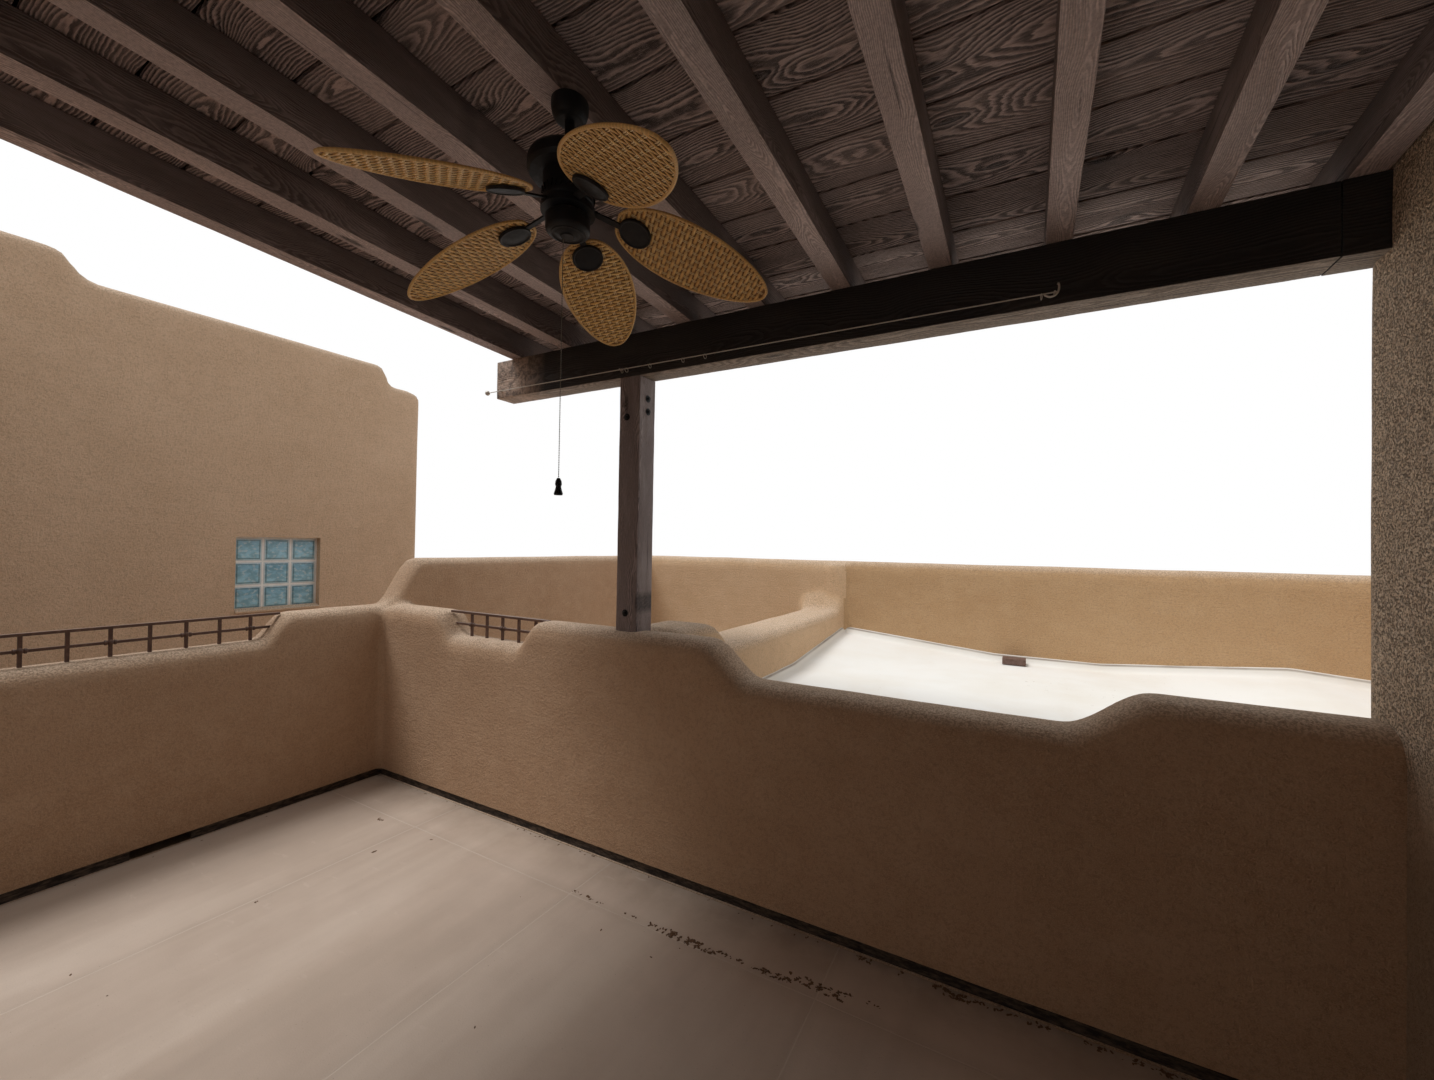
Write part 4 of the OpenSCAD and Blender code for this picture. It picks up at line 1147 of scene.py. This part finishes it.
def makeWindow(v):
    low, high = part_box("glass_blocks")
    panes = grow("glassPillows", pillowTree(), Side=v["side"], Pitch=v["pitch"], Depth=v["depth"] - 0.001,
                 Bulge=v["bulge"], Wave=v["wave"], Material=glassMaterial(low, v))
    panes.data.transform(placing((low + high) / 2, (0, 1, 0), (0, 0, 1)))
    sharpen(panes.data, 50)
    part(panes, "glass_block", "glass_blocks")
    coat(mortarMaterial(), "window_mortar")


def makeSill(v):
    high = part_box("glass_blocks")[1]
    inner, outer, foot = high.x + 0.001, wingHigh.x + v["sillProud"], windowLow.z - v["sillUnder"]
    section = [(inner, windowLow.z + v["sillBack"]), (outer, windowLow.z + v["sillFront"]),
               (outer, foot), (inner, foot)]
    sill = meshObject("windowSill", [(x, y, z) for y in (windowLow.y + 0.001, windowHigh.y - 0.001)
                                     for x, z in section],
                      [(0, 1, 2, 3), (7, 6, 5, 4), (0, 4, 5, 1), (1, 5, 6, 2), (2, 6, 7, 3), (3, 7, 4, 0)])
    modify(sill, "BEVEL", width=0.004, segments=3)
    settle(sill)
    with reworked(sill.data) as bm:
        bmesh.ops.recalc_face_normals(bm, faces=bm.faces)
    sill.data.materials.append(stucco["wing"])
    part(sill, "stucco")


makeWindow(windowValues)
makeSill(windowValues)
print("window made")

# Lower roof: a white coat turned up at the walls, with fills that send rain to the drain
roofValues = {
    "level": 0.890, "cornerRise": 0.127, "cornerRun": 1.35, "ridgeRise": 0.100, "ridgeRun": 1.12,
    "ridgeX": 3.520, "foldUp": 0.055, "foldWide": 0.05, "foldCurve": 2.4, "into": 0.012, "waves": 0.0035,
    "pace": 0.045, "rim": [0, 0.008, 0.016, 0.026, 0.038, 0.055, 0.08],     # finer steps at the walls
}


def whiteMaterial():
    p = Paint("whiteCoat")
    edge = p.attribute("edge")
    dust = p.ramp(p.noise(1.9, 5, 0.55), 0.42, 0.75, 0, 0.6)
    p.colour = p.mix(dust, (0.87, 0.86, 0.82), (0.78, 0.73, 0.64))
    p.lay((0.74, 0.67, 0.57), p.streaks((3.0, 0.7, 1), 4, 0.6), 0.6, 0.8, 0, 0.35)
    rim = p.times(p.ramp(edge, 0.80, 0.90), p.ramp(edge, 0.93, 0.99, 1, 0))
    p.lay((0.20, 0.155, 0.12), p.times(rim, p.ramp(p.noise(5, 4), 0.3, 0.62, 0.6, 1)))     # a dark band near the walls, at the top of the turned-up edge
    p.lay((0.66, 0.60, 0.52), edge, 0.1, 0.8, 0, 0.25)
    specks = p.ramp(p.noise(48, 3), 0.68, 0.74, 0, 0.6)
    p.lay((0.32, 0.24, 0.17), p.times(specks, p.ramp(p.noise(1.7, 3), 0.55, 0.65)))
    return p.finish(0.8, p.bump(p.noise(40, 4), 0.0012))


def roofSteps(a, b, v):
    fine = v["rim"]
    count = int((b - a - 2 * fine[-1]) / v["pace"])
    inner = list(np.linspace(a + fine[-1], b - fine[-1], count))[1:-1]
    return [a + f for f in fine] + inner + [b - f for f in fine[::-1]]


def closedSheet(name, tops, wide, foot):     # rows of points, with sides down to a flat foot
    n, deep = len(tops), len(tops) // wide
    rows = [range(j * wide, (j + 1) * wide - 1) for j in range(deep - 1)]
    faces = [(a, a + 1, a + wide + 1, a + wide) for row in rows for a in row]
    border = (list(range(wide)) + [j * wide + wide - 1 for j in range(1, deep)]
              + [(deep - 1) * wide + i for i in range(wide - 2, -1, -1)]
              + [j * wide for j in range(deep - 2, 0, -1)])
    count = len(border)
    for k in range(count):
        after = (k + 1) % count
        faces.append((n + k, n + after, border[after], border[k]))
    faces.append(tuple(n + k for k in range(count))[::-1])
    return meshObject(name, tops + [(*tops[i][:2], foot) for i in border], faces)


def makeRoof(v):
    low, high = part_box("lower_roof")
    xs = roofSteps(low.x - v["into"], high.x + v["into"], v)
    ys = roofSteps(low.y - v["into"], high.y + v["into"], v)
    rng = np.random.default_rng(5)
    lumps = rng.normal(0, 1, (12, 4))[:, :3]

    def fill(x, y, at, run, rise):
        gap = abs(x - at) / run + (high.y - y) / run
        return rise * max(0.0, 1 - gap)

    tops, edges = [], []
    for y in ys:
        for x in xs:
            near = max(0.0, min(x - xs[0], xs[-1] - x, y - ys[0], ys[-1] - y) - v["into"])
            z = v["level"] + max(fill(x, y, low.x, v["cornerRun"], v["cornerRise"]),
                                 fill(x, y, v["ridgeX"], v["ridgeRun"], v["ridgeRise"]))
            fold = max(0.0, 1 - near / v["foldWide"])
            z += v["foldUp"] * fold ** v["foldCurve"]
            waves = sum(math.sin(a * 2.1 * x + b * 2.3 * y + c * 3) for a, b, c in lumps)
            z -= v["waves"] * (1 + waves / 7) * (1 - fold)
            tops.append((x, y, z))
            edges.append(fold)
    obj = closedSheet("roofCoat", tops, len(xs), low.z)
    pointValues(obj.data, "edge", edges)     # the foot keeps 0
    sharpen(obj.data, 60)
    white = whiteMaterial()
    obj.data.materials.append(white)
    part(obj, "white_roof", "lower_roof")
    coat(white, "wing_roof")


makeRoof(roofValues)


def rolledMaterial():
    p = Paint("rolledRoofing")
    across = p.separate(p.where)[1]
    lap = p.math("ABSOLUTE", p.minus(p.math("FRACT", p.plus(across, 5.0)), 0.5))
    seam = p.ramp(lap, 0.0, 0.006, 1, 0)
    p.colour = p.mix(p.noise(320, 2), (0.36, 0.32, 0.28), (0.52, 0.47, 0.41))
    p.lay((0.42, 0.33, 0.25), p.noise(1.8, 4), 0.45, 0.7, 0, 0.6)
    p.lay((0.12, 0.10, 0.09), seam)
    p.lay((0.012, 0.011, 0.010), p.upward(), -0.3, -0.6)     # near-black underside: black felt, and painted shade in the board gaps
    return p.finish(0.95, p.bump(p.minus(p.noise(320, 2), seam), 0.002))


coat(rolledMaterial(), "roofing")
print("roofs coated")

# Deck: dusty coating over sheets, joints every sheet, bits blown into the corners
deckValues = {
    "sheet": (1.200, 2.440), "joint": (-1.195, -0.430),     # along x and y
    # from x and y to x and y, and about how many bits lie on a square metre
    "trail": [
        (0.0, -0.412, 0.10, -0.398, 9000), (0.10, -0.414, 0.45, -0.400, 2600),
        (0.45, -0.424, 0.58, -0.398, 12000), (0.55, -0.430, 0.80, -0.392, 24000),
        (0.80, -0.412, 0.98, -0.396, 6000), (0.98, -0.414, 1.10, -0.384, 14000),
        (1.08, -0.392, 1.30, -0.345, 14000), (1.30, -0.352, 1.46, -0.336, 3000),
        (-1.9, -0.150, 1.3, -0.132, 900), (1.27, -0.155, 1.34, -0.132, 20000),
        (1.42, -0.155, 1.47, -0.132, 16000), (1.57, -0.168, 1.70, -0.132, 22000),
        (1.70, -0.152, 1.95, -0.132, 9000), (2.05, -0.155, 2.35, -0.132, 9000),
        (-1.47, -0.492, -1.42, -0.472, 14000), (-1.16, -0.705, -1.13, -0.685, 20000),
        (-1.17, -1.20, -1.14, -1.185, 12000), (-0.20, -0.573, -0.172, -0.553, 20000),
        (-2.06, -3.6, -2.03, -0.3, 160), (-2.0, -3.7, 2.7, -0.3, 3)],
    "size": (0.0025, 0.0095), "spare": 1.7,     # more are laid, because bare spots take some away
}


def deckMaterial(v):
    p = Paint("dustyDeck")
    x, y = p.separate(p.where)[:2]

    def joint(c, start, pace):
        lap = p.math("FRACT", p.plus(p.over(p.minus(c, start), pace), 20.5))
        return p.times(p.math("ABSOLUTE", p.minus(lap, 0.5)), pace)

    shift = p.times(p.minus(p.noise(3, 3), 0.5), 0.01)
    near = p.math("MINIMUM", joint(p.plus(x, shift), v["joint"][0], v["sheet"][0]),
                  joint(p.plus(y, shift), v["joint"][1], v["sheet"][1]))
    broad, middle = p.noise(0.9, 5, 0.6), p.noise(6, 5, 0.6)
    p.colour = p.mix(p.ramp(broad, 0.35, 0.65), (0.50, 0.395, 0.315), (0.585, 0.47, 0.385))
    p.lay((0.45, 0.35, 0.28), middle, 0.45, 0.7, 0, 0.3)
    p.lay((0.74, 0.64, 0.55), near, 0.002, 0.006, 0.6, 0)
    p.lay((0.42, 0.33, 0.26), near, 0.006, 0.05, 0.3, 0)
    drift = p.streaks((3.4, 0.42, 1), 4, 0.55)
    p.lay((0.70, 0.59, 0.49), drift, 0.50, 0.70, 0, 0.42)
    p.lay((0.41, 0.325, 0.26), drift, 0.30, 0.46, 0.40, 0)
    foot = p.times(p.ramp(y, -0.36, -0.135), p.ramp(middle, 0.35, 0.6, 0.5, 1))
    p.lay((0.25, 0.185, 0.13), p.times(foot, 0.55))
    p.lay((0.68, 0.57, 0.49), p.streaks((5, 16, 1), 4, 0.7), 0.64, 0.72, 0, 0.25)     # scuffs
    p.lay((0.22, 0.16, 0.12), p.noise(130, 2), 0.7, 0.76, 0, 0.5)     # specks
    height = p.plus(p.times(p.noise(170, 3, 0.6), 0.6), p.ramp(near, 0, 0.004, 0, 1))
    return p.finish(0.88, p.bump(p.noise(5, 3), 0.004, p.bump(height, 0.0012)))


def bitsMaterial():
    p = Paint("dryBits")
    p.colour = p.mix(p.noise(90, 2), (0.050, 0.024, 0.012), (0.24, 0.135, 0.07))
    return p.finish(0.9)


def bitsTree():
    g = Growth("blownBits", Geometry="Geometry", Least="Float", Most="Float", Spare="Float",
               Material="Material")
    density = g.times(g.attribute("density"), g["Spare"])
    points = g.geo("DistributePointsOnFaces", {"Mesh": g["Geometry"], "Density": density, "Seed": 4})
    bare = g.math("LESS_THAN", g.noise(34.0, 2.0, 0.5, g.place()), 0.5)     # leaves clumps
    points = g.geo("DeleteGeometry", {"Geometry": points, "Selection": bare}, domain="POINT")
    flake = g.turned(g.geo("MeshIcoSphere", {"Radius": 1.0, "Subdivisions": 1}), Scale=(1.0, 0.5, 0.22))
    kind = "FunctionNodeRandomValue"
    turn = g.add(kind, {0: (-0.3, -0.3, 0), 1: (0.3, 0.3, 6.28), "Seed": 7}, data_type="FLOAT_VECTOR")
    size = g.add(kind, {2: g["Least"], 3: g["Most"], "Seed": 9}, output=1, data_type="FLOAT")
    return g.finishCoated(g.copies(points, flake, Rotation=turn, Scale=size))


def makeBits(v):
    points, faces, dense = [], [], []
    for x0, y0, x1, y1, thick in v["trail"]:
        n = len(points)
        points += [(x0, y0, 0), (x1, y0, 0), (x1, y1, 0), (x0, y1, 0)]
        faces.append((n, n + 1, n + 2, n + 3))
        dense += [float(thick)] * 4
    mesh = bpy.data.meshes.new("dryBits")
    mesh.from_pydata(points, [], faces)
    pointValues(mesh, "density", dense)
    least, most = v["size"]
    bits = grow("dryBits", bitsTree(), mesh, Least=least, Most=most, Spare=v["spare"],
                Material=bitsMaterial())
    bits.data.transform(Matrix.Translation((0, 0, deckHigh.z + 0.0003)))
    print("bits", len(bits.data.polygons), "faces")
    part(bits, "deck")


coat(deckMaterial(deckValues), "deck_slab")
makeBits(deckValues)
print("deck finished")


# Soft light from a pale sky; the camera sees it white
lightValues = {"sky": 0.68, "sun": 1.85, "sunFrom": (-0.35, -0.25, 0.90), "sunSize": 25}


def makeLight(v):
    world = bpy.data.worlds.new("paleSky")
    scene.world = world
    world.use_nodes = True
    world.node_tree.nodes.clear()
    net = Net(world.node_tree)
    ways = net.tree.nodes.new("ShaderNodeLightPath").outputs
    seen = net.plus(net.plus(ways["Is Camera Ray"], ways["Is Glossy Ray"]), ways["Is Transmission Ray"])
    seen.node.use_clamp = True
    lit = net.add("ShaderNodeBackground", {0: (1, 1, 1), 1: v["sky"]})
    shown = net.add("ShaderNodeBackground", {0: (1, 1, 1), 1: 1.0})
    blend = net.add("ShaderNodeMixShader", {0: seen, 1: lit, 2: shown})
    net.join(blend, net.tree.nodes.new("ShaderNodeOutputWorld").inputs[0])
    sun = bpy.data.lights.new("softSun", "SUN")
    sun.energy = v["sun"]
    sun.angle = math.radians(v["sunSize"])
    lamp = linkObject("softSun", sun)
    lamp.rotation_mode = "QUATERNION"
    lamp.rotation_quaternion = Vector(v["sunFrom"]).to_track_quat("Z", "Y")


makeLight(lightValues)
floorValues = {"tone": (0.8, 0.8, 0.79), "radius": 16, "sides": 64, "below": 0.002}


def makeFloor(v):
    p = Paint("paleFloor")
    p.colour = v["tone"]
    turns = np.linspace(0, 2 * math.pi, v["sides"] + 1)[:-1]
    ring = [(v["radius"] * math.cos(a), v["radius"] * math.sin(a), -v["below"]) for a in turns]
    floor = meshObject("stageFloor", ring, [tuple(range(v["sides"]))])
    floor.data.materials.append(p.finish(0.9))


makeFloor(floorValues)
print("light and floor set")
